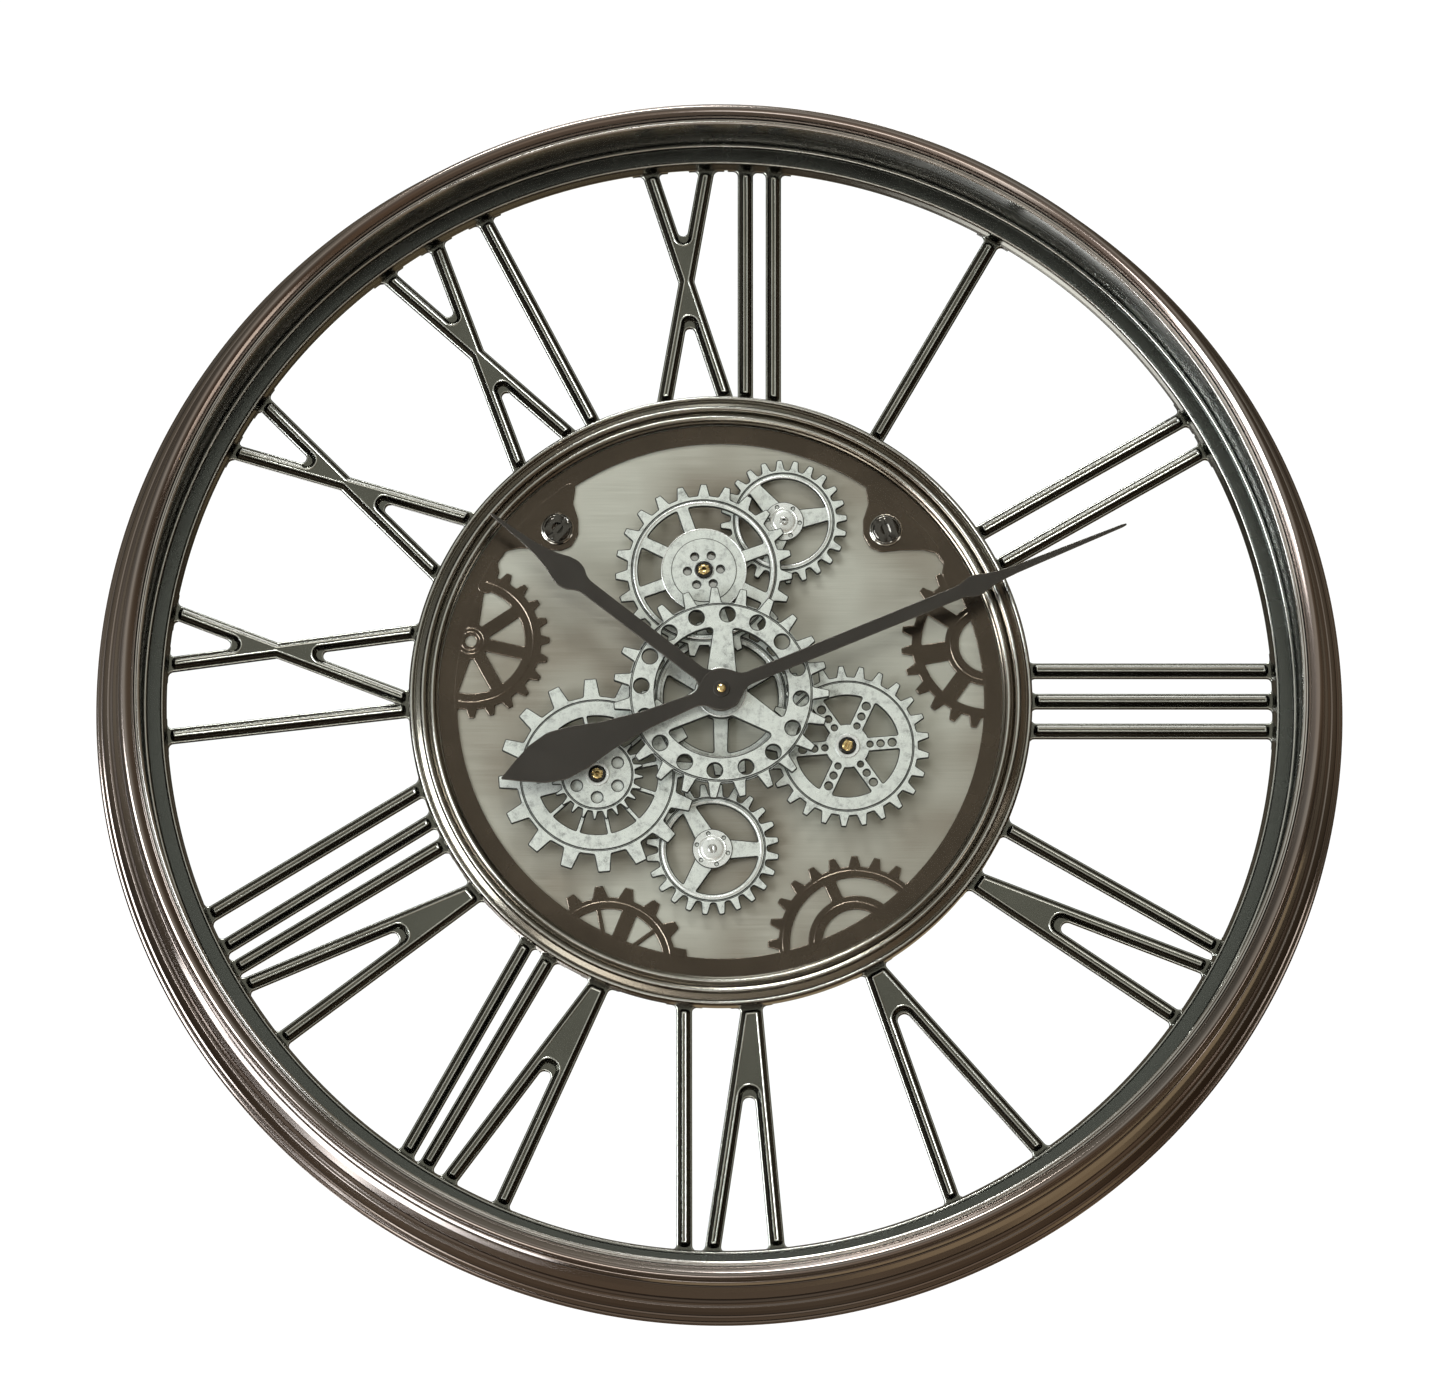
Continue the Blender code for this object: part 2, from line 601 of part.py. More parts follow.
def build_train():
    """Hidden wheels and the gears seen in front of the dial plate."""
    windows = spoke_windows(12 * MM, 48 * MM, (0, 120, 240), (5 * MM, 4 * MM), 4)
    drive = as_solid(hidden_wheel("drive_wheel", DRIVE_TEETH, DRIVE_PHASE, SLEEVE_BORE,
                                  "brass_screw", windows=windows))
    sleeve = as_solid(tube("drive_sleeve", SLEEVE_R, SLEEVE_BORE, TRAIN_BACK + 1 * MM,
                           CENTRE_LAYER[1] + 0.4 * MM, "brass_screw"))
    combine(drive, sleeve, "UNION")
    motor_phase = mesh_phase(DRIVE_PHASE, DRIVE_TEETH, MOTOR_CLOCK, MOTOR_TEETH)
    pinion = as_solid(hidden_wheel("motor_pinion", MOTOR_TEETH, motor_phase, 0, "brass_screw", MOTOR))
    axle = as_solid(tube("motor_pinion_axle", 2.4 * MM, 0, 15 * MM, 22 * MM, "brass_screw", 12, MOTOR))
    combine(pinion, axle, "UNION")

    rear = [toothed(20, 51.2 * MM, 43 * MM, 2), circle(SLEEVE_R + GAP_R, HUB_STEPS)]
    rear += spoke_windows(15.4 * MM, 36.6 * MM, (60, 180, 300), (5 * MM, 4.5 * MM))
    plate("centre_rear_gear", rear, REAR_LAYER, "gear_silver")
    front = [toothed(23, 69 * MM, 59 * MM, 184.2, 0.12, 0.26), circle(SLEEVE_R + GAP_R, HUB_STEPS)]
    front += spoke_windows(17 * MM, 42.6 * MM, (1.5, 121.5, 241.5), (9.6 * MM, 6.2 * MM))
    front += ring_of_holes(16, 51 * MM, 5 * MM, 4.5, 6)
    plate("centre_gear", front, CENTRE_LAYER, "gear_silver")

    phase = mesh_phase(DRIVE_PHASE, DRIVE_TEETH, clock_of(UPPER), UPPER_TEETH)
    arbor("upper_arbor", UPPER, UPPER_TEETH, phase, 13 * MM, (35 * MM, 36.7 * MM))
    upper = [toothed(23, 57 * MM, 49.5 * MM, 15.4)]
    upper += spoke_windows(27.4 * MM, 42.2 * MM, (250, 295.5, 341, 70, 115, 160), (4.2 * MM, 4 * MM), 3)
    upper += ring_of_holes(6, 10.6 * MM, 2.5 * MM, 26, 6)
    plate("upper_gear", upper, MIDDLE_LAYER, "gear_silver", UPPER)

    second = mesh_phase(phase, UPPER_TEETH, UPPER_RIGHT_CLOCK, UPPER_RIGHT_TEETH)
    arbor("upper_right_arbor", UPPER_RIGHT, UPPER_RIGHT_TEETH, second, 8 * MM, (29.4 * MM, 30.7 * MM))
    gear = [toothed(24, 41 * MM, 34.5 * MM, 11)]
    gear += spoke_windows(14.4 * MM, 28 * MM, (79, 199, 319), (8.4 * MM, 4.4 * MM))
    plate("upper_right_gear", gear, REAR_LAYER, "gear_silver", UPPER_RIGHT)

    phase = mesh_phase(DRIVE_PHASE, DRIVE_TEETH, clock_of(RIGHT), RIGHT_TEETH)
    arbor("right_arbor", RIGHT, RIGHT_TEETH, phase, 8 * MM, (35 * MM, 36.7 * MM))
    gear = [toothed(25, 52.5 * MM, 45.4 * MM, 10)]
    gear += spoke_windows(14.4 * MM, 33 * MM, (25, 85, 145, 205, 265, 325), (6 * MM, 5 * MM), 3)
    for k in range(6):
        clock = 25 + 60 * k
        for ring, radius in ((14.4, 1.9), (21.4, 2.2), (28.8, 2.5)):
            gear.append(circle(radius * MM, 6, polar(ring * MM, clock)))
    plate("right_gear", gear, MIDDLE_LAYER, "gear_silver", RIGHT)

    phase = mesh_phase(DRIVE_PHASE, DRIVE_TEETH, clock_of(LOWER_LEFT), LOWER_LEFT_TEETH)
    arbor("lower_left_arbor", LOWER_LEFT, LOWER_LEFT_TEETH, phase, 12 * MM, (35 * MM, 36.7 * MM))
    gear = [toothed(16, 63 * MM, 51.6 * MM, 18.2, 0.16, 0.27)]
    spokes = [(18 + 30 * k, 1.5 * MM, 1.5 * MM) for k in range(12)]
    spokes[8] = (255, 4.6 * MM, 4.6 * MM)
    gear += wheel_windows(20 * MM, 37.6 * MM, spokes, 2)
    plate("lower_left_gear", gear, MIDDLE_LAYER, "gear_silver", LOWER_LEFT)
    gear = [toothed(24, 29.4 * MM, 24.4 * MM, 3)]
    gear += ring_of_holes(6, 15 * MM, 3.5 * MM, 0)
    plate("lower_left_pinion", gear, PINION_LAYER, "gear_silver", LOWER_LEFT)

    phase = mesh_phase(DRIVE_PHASE, DRIVE_TEETH, clock_of(LOWER), LOWER_TEETH)
    arbor("lower_arbor", LOWER, LOWER_TEETH, phase, 8 * MM, (29.4 * MM, 30.7 * MM))
    gear = [toothed(24, 42.6 * MM, 35 * MM, 6.5)]
    gear += spoke_windows(14.4 * MM, 29.2 * MM, (90, 210, 330), (8.4 * MM, 4.8 * MM))
    plate("lower_gear", gear, REAR_LAYER, "gear_silver", LOWER)


def build_screws():
    """Slotted screws on the gears and on the overlay plate."""
    middle = MIDDLE_LAYER[1] + GAP
    slotted_screw("upper_screw", 3.6 * MM, middle, 2.6 * MM, 60, "brass_screw", UPPER)
    slotted_screw("right_screw", 3.6 * MM, middle, 2.6 * MM, 30, "brass_screw", RIGHT)
    slotted_screw("lower_left_screw", 3.6 * MM, PINION_LAYER[1] + GAP, 2.6 * MM, 75,
                  "brass_screw", LOWER_LEFT)
    rear = REAR_LAYER[1] + GAP
    slotted_screw("upper_right_screw", 7.4 * MM, rear, 2.4 * MM, 40, "gear_silver", UPPER_RIGHT)
    slotted_screw("lower_screw", 8 * MM, rear, 2.4 * MM, 120, "gear_silver", LOWER)
    top = OVERLAY_FRONT + 0.5 * MM + GAP
    for name, aside, clock in OVERLAY_SCREWS:
        centre = (aside * MM, OVERLAY_SCREW_UP * MM)
        slotted_screw(name, 9.2 * MM, top, 3 * MM, clock, "steel_arbor", centre)


# ---------------------------------------------------------------- movement
def boxed(name, centre, width, height, layer, slot):
    """Plain block between two depths."""
    return as_solid(plate(name, [rectangle(centre, width, height)], layer, slot))


def build_movement():
    """Quartz movement with its long bush, nut, battery, knob and hand shafts."""
    case = boxed("movement_case", (0, 0), 56 * MM, 56 * MM, (1.9 * MM, 16.2 * MM), "black_plastic")
    bay = boxed("movement_bay", (0, -19 * MM), 52 * MM, 15.4 * MM, (0.5 * MM, 15.2 * MM), "black_plastic")
    combine(case, bay, "DIFFERENCE")
    bush = as_solid(tube("movement_bush", BUSH_R, BUSH_BORE - 1 * MM, 10 * MM, 50.4 * MM, "brass_screw"))
    combine(case, bush, "UNION")
    bore = as_solid(tube("movement_bore", BUSH_BORE, 0, 4 * MM, 60 * MM, "black_plastic"))
    combine(case, bore, "DIFFERENCE")
    pocket = as_solid(tube("knob_pocket", 6.6 * MM, 0, 1 * MM, 4.6 * MM, "black_plastic",
                           centre=(0, 16 * MM)))
    combine(case, pocket, "DIFFERENCE")
    nut = [circle(8.6 * MM, 6), circle(BUSH_R + GAP_R, HUB_STEPS)]
    plate("mounting_nut", nut, (18.3 * MM, 20.6 * MM), "brass_screw")
    turned("setting_knob", [(0, 4.3 * MM), (6 * MM, 4.3 * MM), (6 * MM, 0.4 * MM), (0, 0.4 * MM)],
           "white_plastic", 12, (0, 16 * MM))
    tube("hour_tube", HOUR_TUBE_R, HOUR_TUBE_BORE, 8 * MM, 55 * MM, "brass_screw")
    shaft = [
        (0, 61.6 * MM), (1.9 * MM, 61 * MM), (2.9 * MM, 59.6 * MM), (2.9 * MM, 58.7 * MM),
        (MINUTE_SHAFT_R, 58.7 * MM), (MINUTE_SHAFT_R, 6 * MM), (0, 6 * MM),
    ]
    turned("minute_shaft", shaft, "brass_screw", HUB_STEPS)


def battery(name, centre, depth):
    """Round cell lying across the clock, with its raised contact."""
    radius = 7.0 * MM
    half = 24.2 * MM
    profile = [
        (0, half + 1 * MM), (2.6 * MM, half + 1 * MM), (2.6 * MM, half), (radius, half),
        (radius, -half), (0, -half),
    ]
    cell = turned(name, profile, "battery_wrap", HUB_STEPS, centre)
    cell.rotation_euler = (0, math.radians(90), 0)
    cell.location = (centre[0], -depth, centre[1])


def build_motor():
    """Gear motor module with its own cell and a sliding switch."""
    module = boxed("gear_motor", (-66 * MM, 39 * MM), 62 * MM, 44 * MM, (1.9 * MM, 16.2 * MM),
                   "black_plastic")
    bay = boxed("motor_bay", (-66 * MM, 52 * MM), 56 * MM, 15.4 * MM, (0.5 * MM, 15.2 * MM),
                "black_plastic")
    combine(module, bay, "DIFFERENCE")
    seat = as_solid(tube("motor_seat", 2.8 * MM, 0, 12 * MM, 17 * MM, "black_plastic", 12, MOTOR))
    combine(module, seat, "DIFFERENCE")
    slot = boxed("switch_slot", (-80 * MM, 24 * MM), 11 * MM, 5 * MM, (1 * MM, 4.4 * MM), "black_plastic")
    combine(module, slot, "DIFFERENCE")
    plate("motor_switch", [rectangle((-1.5 * MM, 0), 6 * MM, 4.2 * MM)],
          (0.4 * MM, 4.0 * MM), "white_plastic", (-80 * MM, 24 * MM))
    battery("movement_battery", (0, -19 * MM), 7.9 * MM)
    battery("motor_battery", (-66 * MM, 52 * MM), 7.9 * MM)


# ---------------------------------------------------------------- hands
def hand_loop(side, hub_r, clock):
    """Closed outline from half widths along a hand, mirrored about its line."""
    half = []
    hub_done = False
    for along, width in side:
        if along > 0 and not hub_done:
            for turn in (135, 90, 45):
                x, z = polar(hub_r, turn)
                half.append((x, z))
            hub_done = True
        half.append((width, along))
    loop = half + [(-x, z) for x, z in reversed(half)]
    turn = math.radians(clock)
    return [(x * math.cos(turn) + z * math.sin(turn), z * math.cos(turn) - x * math.sin(turn))
            for x, z in loop]


def build_hands():
    """Spade hands, the minute hand with a leaf-shaped tail."""
    minute = [
        (-151, 0.5), (-140, 6.0), (-127, 12.6), (-113, 16.4), (-98, 14.6), (-78, 9.6),
        (-52, 6.0), (-16, 4.2), (16, 4.3), (166, 4.3), (172, 6.2), (177, 7.0), (186, 4.6),
        (200, 2.7), (281, 0.8),
    ]
    hour = [
        (-13.9, 1.6), (16, 4.6), (112, 4.9), (117, 8.6), (124, 10.4), (132, 8.0),
        (144, 4.6), (156, 2.6), (187.5, 0.8),
    ]
    for name, side, clock, layer, bore in (
        ("minute_hand", minute, MINUTE_CLOCK, MINUTE_LAYER, MINUTE_SHAFT_R + 0.1 * MM),
        ("hour_hand", hour, HOUR_CLOCK, HOUR_LAYER, HOUR_TUBE_R + 0.1 * MM),
    ):
        points = [(along * MM, width * MM) for along, width in side]
        loop = hand_loop(points, HAND_HUB_R, clock)
        plate(name, [loop, circle(bore, HUB_STEPS)], layer, "hand_black")


# ---------------------------------------------------------------- wall fittings
def build_wall_fittings():
    """Keyhole hanger at the top of the rim and two soft bumpers below."""
    edge = side_turn(KEYHOLE_R, KEYHOLE_NECK / 2)
    keyhole = []
    for k in range(HUB_STEPS + 1):
        x, z = polar(KEYHOLE_R, edge + (360 - 2 * edge) * k / HUB_STEPS)
        keyhole.append((x, HANGER_UP - 4 * MM + z))
    keyhole.append((-KEYHOLE_NECK / 2, HANGER_UP + 5 * MM))
    keyhole.append((KEYHOLE_NECK / 2, HANGER_UP + 5 * MM))
    plate("hanger_plate", [rectangle((0, HANGER_UP), 70 * MM, 22 * MM), keyhole],
          (1.2 * MM, 2.7 * MM), "steel_plate")
    for name, clock in (("bumper_left", 214), ("bumper_right", 146)):
        tube(name, 7 * MM, 0, 0, 2.7 * MM, "rubber_black", 12, polar(390 * MM, clock))


build_rim()
build_numerals()
build_case()
build_plates()
build_overlay()
build_train()
build_screws()
build_movement()
build_motor()
build_hands()
build_wall_fittings()
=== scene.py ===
"""Looks of the open-skeleton wall clock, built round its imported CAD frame.

+Z is up and the dial faces -Y.  The clock's own shapes are in millimetres: flat
work is drawn in (x, z) and placed by its depth from the wall, so that a point
at depth d sits at y = -d.  Clock angles run clockwise from twelve, in degrees.
"""

import json
import math

import bmesh
import bpy
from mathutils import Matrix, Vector
from mathutils.geometry import tessellate_polygon


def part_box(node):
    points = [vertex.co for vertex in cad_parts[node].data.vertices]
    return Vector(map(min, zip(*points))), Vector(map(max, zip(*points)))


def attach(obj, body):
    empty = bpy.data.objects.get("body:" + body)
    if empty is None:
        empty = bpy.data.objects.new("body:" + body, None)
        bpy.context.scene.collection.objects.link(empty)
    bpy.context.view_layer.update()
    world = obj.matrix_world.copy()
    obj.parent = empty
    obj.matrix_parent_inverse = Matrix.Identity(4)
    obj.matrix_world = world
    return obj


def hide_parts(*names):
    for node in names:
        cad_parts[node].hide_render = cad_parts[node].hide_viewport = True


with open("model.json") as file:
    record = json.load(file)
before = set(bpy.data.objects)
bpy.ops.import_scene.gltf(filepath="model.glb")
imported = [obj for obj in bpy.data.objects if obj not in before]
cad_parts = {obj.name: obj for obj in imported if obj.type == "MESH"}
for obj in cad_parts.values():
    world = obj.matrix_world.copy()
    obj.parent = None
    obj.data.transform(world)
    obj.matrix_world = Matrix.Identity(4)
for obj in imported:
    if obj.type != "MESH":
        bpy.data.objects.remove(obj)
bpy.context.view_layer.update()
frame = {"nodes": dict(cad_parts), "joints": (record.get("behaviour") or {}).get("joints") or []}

MM = 0.001
RING_STEPS = 384
DISC_STEPS = 96
PIN_STEPS = 48
SMALL_STEPS = 32
SHARP = math.radians(38)
WELD = 0.000002

AXIS = {j["child"]: (j["pos_m"][0] / MM, j["pos_m"][2] / MM) for j in frame["joints"] if j["type"] == "hinge"}


def layer(node):
    """Back and front depth of a CAD node."""
    low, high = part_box(node)
    return -high.y / MM, -low.y / MM


def middle(node):
    """Centre of a CAD node, seen from the front."""
    low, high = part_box(node)
    return ((low.x + high.x) / 2 / MM, (low.z + high.z) / 2 / MM)


# ---- outlines
def polar(radius, clock, centre=(0, 0)):
    """Point at a clock angle round a centre."""
    angle = math.radians(clock)
    return (centre[0] + radius * math.sin(angle), centre[1] + radius * math.cos(angle))


def circle(radius, centre=(0, 0), steps=DISC_STEPS):
    """Closed round outline."""
    return [polar(radius, 360 * k / steps, centre) for k in range(steps)]


def shifted(loop, centre):
    """Outline moved to a centre."""
    return [(x + centre[0], z + centre[1]) for x, z in loop]


# Half the angle of a corner that is too flat to round
NEARLY_STRAIGHT = math.radians(88.5)


def bent(points, radii, closed=True, steps=4):
    """Outline with every corner rounded to its radius."""
    count = len(points)
    result = []
    for k, point in enumerate(points):
        radius = radii[k] if isinstance(radii, (list, tuple)) else radii
        corner = Vector(point)
        before = Vector(points[k - 1]) - corner
        after = Vector(points[(k + 1) % count]) - corner
        at_end = not closed and k in (0, count - 1)
        pointed = at_end or radius <= 0 or before.length == 0 or after.length == 0
        half = 0 if pointed else before.angle(after) / 2
        if pointed or half > NEARLY_STRAIGHT:
            result.append(tuple(corner))
            continue
        reach = min(radius / math.tan(half), 0.48 * before.length, 0.48 * after.length)
        real = reach * math.tan(half)
        before.normalize()
        after.normalize()
        hub = corner + (before + after).normalized() * (real / math.sin(half))
        first = corner + before * reach - hub
        last = corner + after * reach - hub
        start = math.atan2(first.y, first.x)
        sweep = math.remainder(math.atan2(last.y, last.x) - start, math.tau)
        for s in range(steps + 1):
            angle = start + sweep * s / steps
            result.append((hub.x + real * math.cos(angle), hub.y + real * math.sin(angle)))
    return result


def signed_area(loop):
    """Area of an outline, positive when it runs anticlockwise."""
    pairs = zip(loop, loop[1:] + loop[:1])
    return sum(x1 * z2 - x2 * z1 for (x1, z1), (x2, z2) in pairs) / 2


def pushed(loop, amount):
    """Outline moved outwards by amount, its corners mitred."""
    if amount == 0:
        return list(loop)
    side = 1 if signed_area(loop) > 0 else -1
    count = len(loop)
    result = []
    for k in range(count):
        here = Vector(loop[k])
        into = (here - Vector(loop[k - 1])).normalized()
        out = (Vector(loop[(k + 1) % count]) - here).normalized()
        normal_in = Vector((into.y, -into.x)) * side
        normal_out = Vector((out.y, -out.x)) * side
        along = normal_in + normal_out
        if along.length < 0.0001:
            along = normal_in
        along.normalize()
        result.append(tuple(here + along * (amount / max(0.55, along.dot(normal_in)))))
    return result


def inside_round(loop, radius, steps=180):
    """Part of an outline that lies inside a circle about the clock's axis."""
    limit = [Vector(p) for p in circle(radius, steps=steps)]
    points = [Vector(p) for p in loop]
    for k in range(steps):
        base = limit[k]
        edge = limit[(k + 1) % steps] - base
        kept = []
        for j, here in enumerate(points):
            last = points[j - 1]
            here_in = edge.cross(here - base) <= 0
            last_in = edge.cross(last - base) <= 0
            if here_in != last_in:
                share = edge.cross(base - last) / edge.cross(here - last)
                kept.append(last + (here - last) * share)
            if here_in:
                kept.append(here)
        points = kept
        if not points:
            return []
    return [tuple(p) for p in thinned(points, 0.02)]


def toothed(teeth, tip, root, first, tip_share=0.13, root_share=0.3, soft=0.7):
    """Gear outline with rounded tooth corners."""
    pitch = 360 / teeth
    corners = ((root, -root_share), (tip, -tip_share), (tip, tip_share), (root, root_share))
    points = [polar(radius, first + pitch * (k + share)) for k in range(teeth) for radius, share in corners]
    return bent(points, soft, steps=3)


def window(inner, outer, start, stop, soft, steps=14):
    """Opening between two spokes given as angle, hub half width and rim half width."""
    sides = []
    for radius, part in ((outer, 2), (inner, 1)):
        low = start[0] + math.degrees(math.asin(start[part] / radius))
        high = stop[0] - math.degrees(math.asin(stop[part] / radius))
        sides.append([polar(radius, low + (high - low) * k / steps) for k in range(steps + 1)])
    return bent(thinned(sides[0] + sides[1][::-1], 0.3), soft, steps=3)


def thinned(points, least):
    """Outline without points closer than least."""
    kept = [points[0]]
    for point in points[1:]:
        if (Vector(point) - Vector(kept[-1])).length > least:
            kept.append(point)
    return kept


def windows(inner, outer, spokes, soft):
    """Every opening of a wheel, from spokes of (angle, hub half width, rim half width)."""
    loops = []
    for k, start in enumerate(spokes):
        clock, at_hub, at_rim = spokes[(k + 1) % len(spokes)]
        if clock <= start[0]:
            clock += 360
        loops.append(window(inner, outer, start, (clock, at_hub, at_rim), soft))
    return loops


def alike(clocks, at_hub, at_rim):
    """Spokes of one shape at several angles."""
    return [(clock, at_hub, at_rim) for clock in clocks]


def hole_ring(count, ring, radius, first, steps=SMALL_STEPS):
    """Round holes spread evenly on a circle."""
    return [circle(radius, polar(ring, first + 360 * k / count), steps) for k in range(count)]


# ---- solids
def dot(work, x, depth, z):
    """New vertex of a mesh, which is in metres."""
    return work.verts.new((x * MM, -depth * MM, z * MM))


def relief(work, loops, profile, paint=None):
    """Add a plate whose outlines follow a profile of (inset, depth) steps from front to back.

    paint gives the material index of each strip between steps; both ends take index 0.
    """
    rings = []
    for inset, depth in profile:
        ring = []
        for k, loop in enumerate(loops):
            moved = pushed(loop, -inset if k == 0 else inset)
            ring.append([dot(work, x, depth, z) for x, z in moved])
        rings.append(ring)
    for step, (upper, lower) in enumerate(zip(rings, rings[1:])):
        index = paint[step] if paint else 0
        for top, bottom in zip(upper, lower):
            count = len(top)
            for k in range(count):
                after = (k + 1) % count
                face = work.faces.new((top[k], top[after], bottom[after], bottom[k]))
                face.material_index = index
    for ring in (rings[0], rings[-1]):
        flat = [vert for loop in ring for vert in loop]
        outlines = [[(v.co.x, v.co.z, 0) for v in loop] for loop in ring]
        for a, b, c in tessellate_polygon(outlines):
            try:
                work.faces.new((flat[a], flat[b], flat[c]))
            except ValueError:
                continue


def eased(back, front, radius, steps=3):
    """Profile of a plate whose front edge is rounded and whose back edge is broken."""
    profile = []
    for k in range(steps + 1):
        angle = math.radians(90 * k / steps)
        profile.append((radius * (1 - math.sin(angle)), front - radius * (1 - math.cos(angle))))
    profile.append((0, back + 0.3 * radius))
    profile.append((0.3 * radius, back))
    return profile


# Material indices for the strips of an eased profile: a front edge in material 1, a painted highlight, over a wall
# in material 2, patina and painted shade; and an edge wholly in material 2
HIGHLIGHT_EDGE = [1, 1, 1, 2, 2]
DARK_EDGE = [2, 2, 2, 2, 2]


def lathe(work, profile, steps=RING_STEPS, centre=(0, 0), paint=None):
    """Turn a closed profile of (radius, depth) about an axis along Y."""
    rows = []
    for radius, depth in profile:
        if radius <= 0:
            rows.append([dot(work, centre[0], depth, centre[1])])
            continue
        rows.append([dot(work, x, depth, z) for x, z in circle(radius, centre, steps)])
    for j, lower in enumerate(rows):
        upper = rows[(j + 1) % len(rows)]
        index = paint[j] if paint else 0
        for k in range(steps):
            after = (k + 1) % steps
            corners = [upper[k % len(upper)], upper[after % len(upper)],
                       lower[after % len(lower)], lower[k % len(lower)]]
            corners = list(dict.fromkeys(corners))
            if len(corners) > 2:
                face = work.faces.new(corners)
                face.material_index = index


def dome(work, radius, base, height, centre, rows=6, edge=0.35):
    """Low round head with a short straight side."""
    lip = base + edge * height
    profile = [(0, base), (radius, base)]
    for k in range(rows):
        angle = math.radians(90 * k / rows)
        profile.append((radius * math.cos(angle), lip + (base + height - lip) * math.sin(angle)))
    profile.append((0, base + height))
    lathe(work, profile, DISC_STEPS, centre)


def bead(work, ring, half, base, height, centre=(0, 0), steps=DISC_STEPS, rows=6, index=0):
    """Half-round raised ring."""
    profile = [(ring + half, base)]
    for k in range(rows + 1):
        angle = math.radians(180 * k / rows)
        profile.append((ring + half * math.cos(angle), base + height * math.sin(angle)))
    lathe(work, profile + [(ring - half, base - 0.1), (ring + half, base - 0.1)],
          steps, centre, [index] * (rows + 4))


def slotted_head(work, radius, base, height, clock, centre, rows=5, gap=0.16):
    """Slotted screw head made of two domed halves over a floor, which takes material 2 as painted shade in the slot.
    """
    relief(work, [circle(radius * 0.97, centre, SMALL_STEPS)], [(0, base + 0.35 * height), (0, base)], [2])
    profile = []
    for k in range(rows + 1):
        angle = math.radians(80 * k / rows)
        profile.append((0.55 * radius * (1 - math.sin(angle)), base + height * (0.4 + 0.6 * math.cos(angle))))
    for turn in (clock, clock + 180):
        half = [polar(radius, turn + 15 * k, centre) for k in range(13)]
        half[0] = polar(0.6 * gap * radius, turn + 90, half[0])
        half[-1] = polar(0.6 * gap * radius, turn + 90, half[-1])
        relief(work, [bent(half, 0.05 * radius)], profile + [(0, base)])


def piece(name, work, materials, body, nodes):
    """Make a piece from a bmesh, and tie it to its CAD body, nodes and finish."""
    bmesh.ops.remove_doubles(work, verts=work.verts, dist=WELD)
    bmesh.ops.recalc_face_normals(work, faces=work.faces)
    mesh = bpy.data.meshes.new(name)
    work.to_mesh(mesh)
    work.free()
    mesh.shade_smooth()
    mesh.set_sharp_from_angle(angle=SHARP)
    obj = bpy.data.objects.new(name, mesh)
    bpy.context.scene.collection.objects.link(obj)
    for material in materials:
        mesh.materials.append(material)
    weigh = obj.modifiers.new("weigh", "WEIGHTED_NORMAL")
    weigh.keep_sharp = True
    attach(obj, body)
    if nodes:
        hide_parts(*nodes)


# ---- materials
class Nodes:
    """Short calls for building the node tree of a material or world."""

    def __init__(self, owner):
        owner.use_nodes = True
        self.tree = owner.node_tree

    def feed(self, socket, value):
        """Link an output to a socket, or set the socket's own value."""
        if isinstance(value, bpy.types.NodeSocket):
            self.tree.links.new(value, socket)
        elif socket.type == "RGBA":
            socket.default_value = (*value, 1)
        else:
            socket.default_value = value

    def add(self, kind, inputs=None, **settings):
        """New node with its settings and its inputs by name or number."""
        node = self.tree.nodes.new("ShaderNode" + kind)
        for key, value in settings.items():
            setattr(node, key, value)
        for key, value in (inputs or {}).items():
            self.feed(node.inputs[key], value)
        return node

    def math(self, operation, first, second):
        """Scalar maths."""
        return self.add("Math", {0: first, 1: second}, operation=operation).outputs[0]

    def vector(self, operation, first, second=(0, 0, 0)):
        """Vector maths, giving a length or a vector."""
        node = self.add("VectorMath", {0: first, 1: second}, operation=operation)
        return node.outputs["Value" if operation == "LENGTH" else "Vector"]

    def noise(self, space, scale, detail, rough):
        """Noise value over a space."""
        inputs = {"Vector": space, "Scale": scale, "Detail": detail, "Roughness": rough}
        return self.add("TexNoise", inputs).outputs["Fac"]

    def ramp(self, factor, stops):
        """Colour from a factor through (place, colour) stops."""
        node = self.add("ValToRGB", {"Fac": factor})
        elements = node.color_ramp.elements
        while len(elements) < len(stops):
            elements.new(0.5)
        for element, (place, colour) in zip(elements, stops):
            element.position = place
            element.color = (*colour, 1)
        return node.outputs["Color"]

    def span(self, factor, low, high, from_low=0.3, from_high=0.7):
        """Factor stretched to a range."""
        inputs = {"Value": factor, "From Min": from_low, "From Max": from_high, "To Min": low, "To Max": high}
        return self.add("MapRange", inputs).outputs["Result"]

    def blend(self, factor, first, second, mode="MIX"):
        """Two colours mixed by a factor."""
        inputs = {"Factor": factor, 6: first, 7: second}
        return self.add("Mix", inputs, data_type="RGBA", blend_type=mode).outputs[2]

    def surface(self, output, factor, first, second):
        """Mix two shader nodes by a factor into the tree's output."""
        mix = self.add("MixShader", {0: factor, 1: first.outputs[0], 2: second.outputs[0]})
        self.feed(self.tree.nodes[output].inputs["Surface"], mix.outputs[0])


def shade(colour, amount):
    """Colour made lighter or darker by a factor."""
    return tuple(min(1, c * amount) for c in colour)


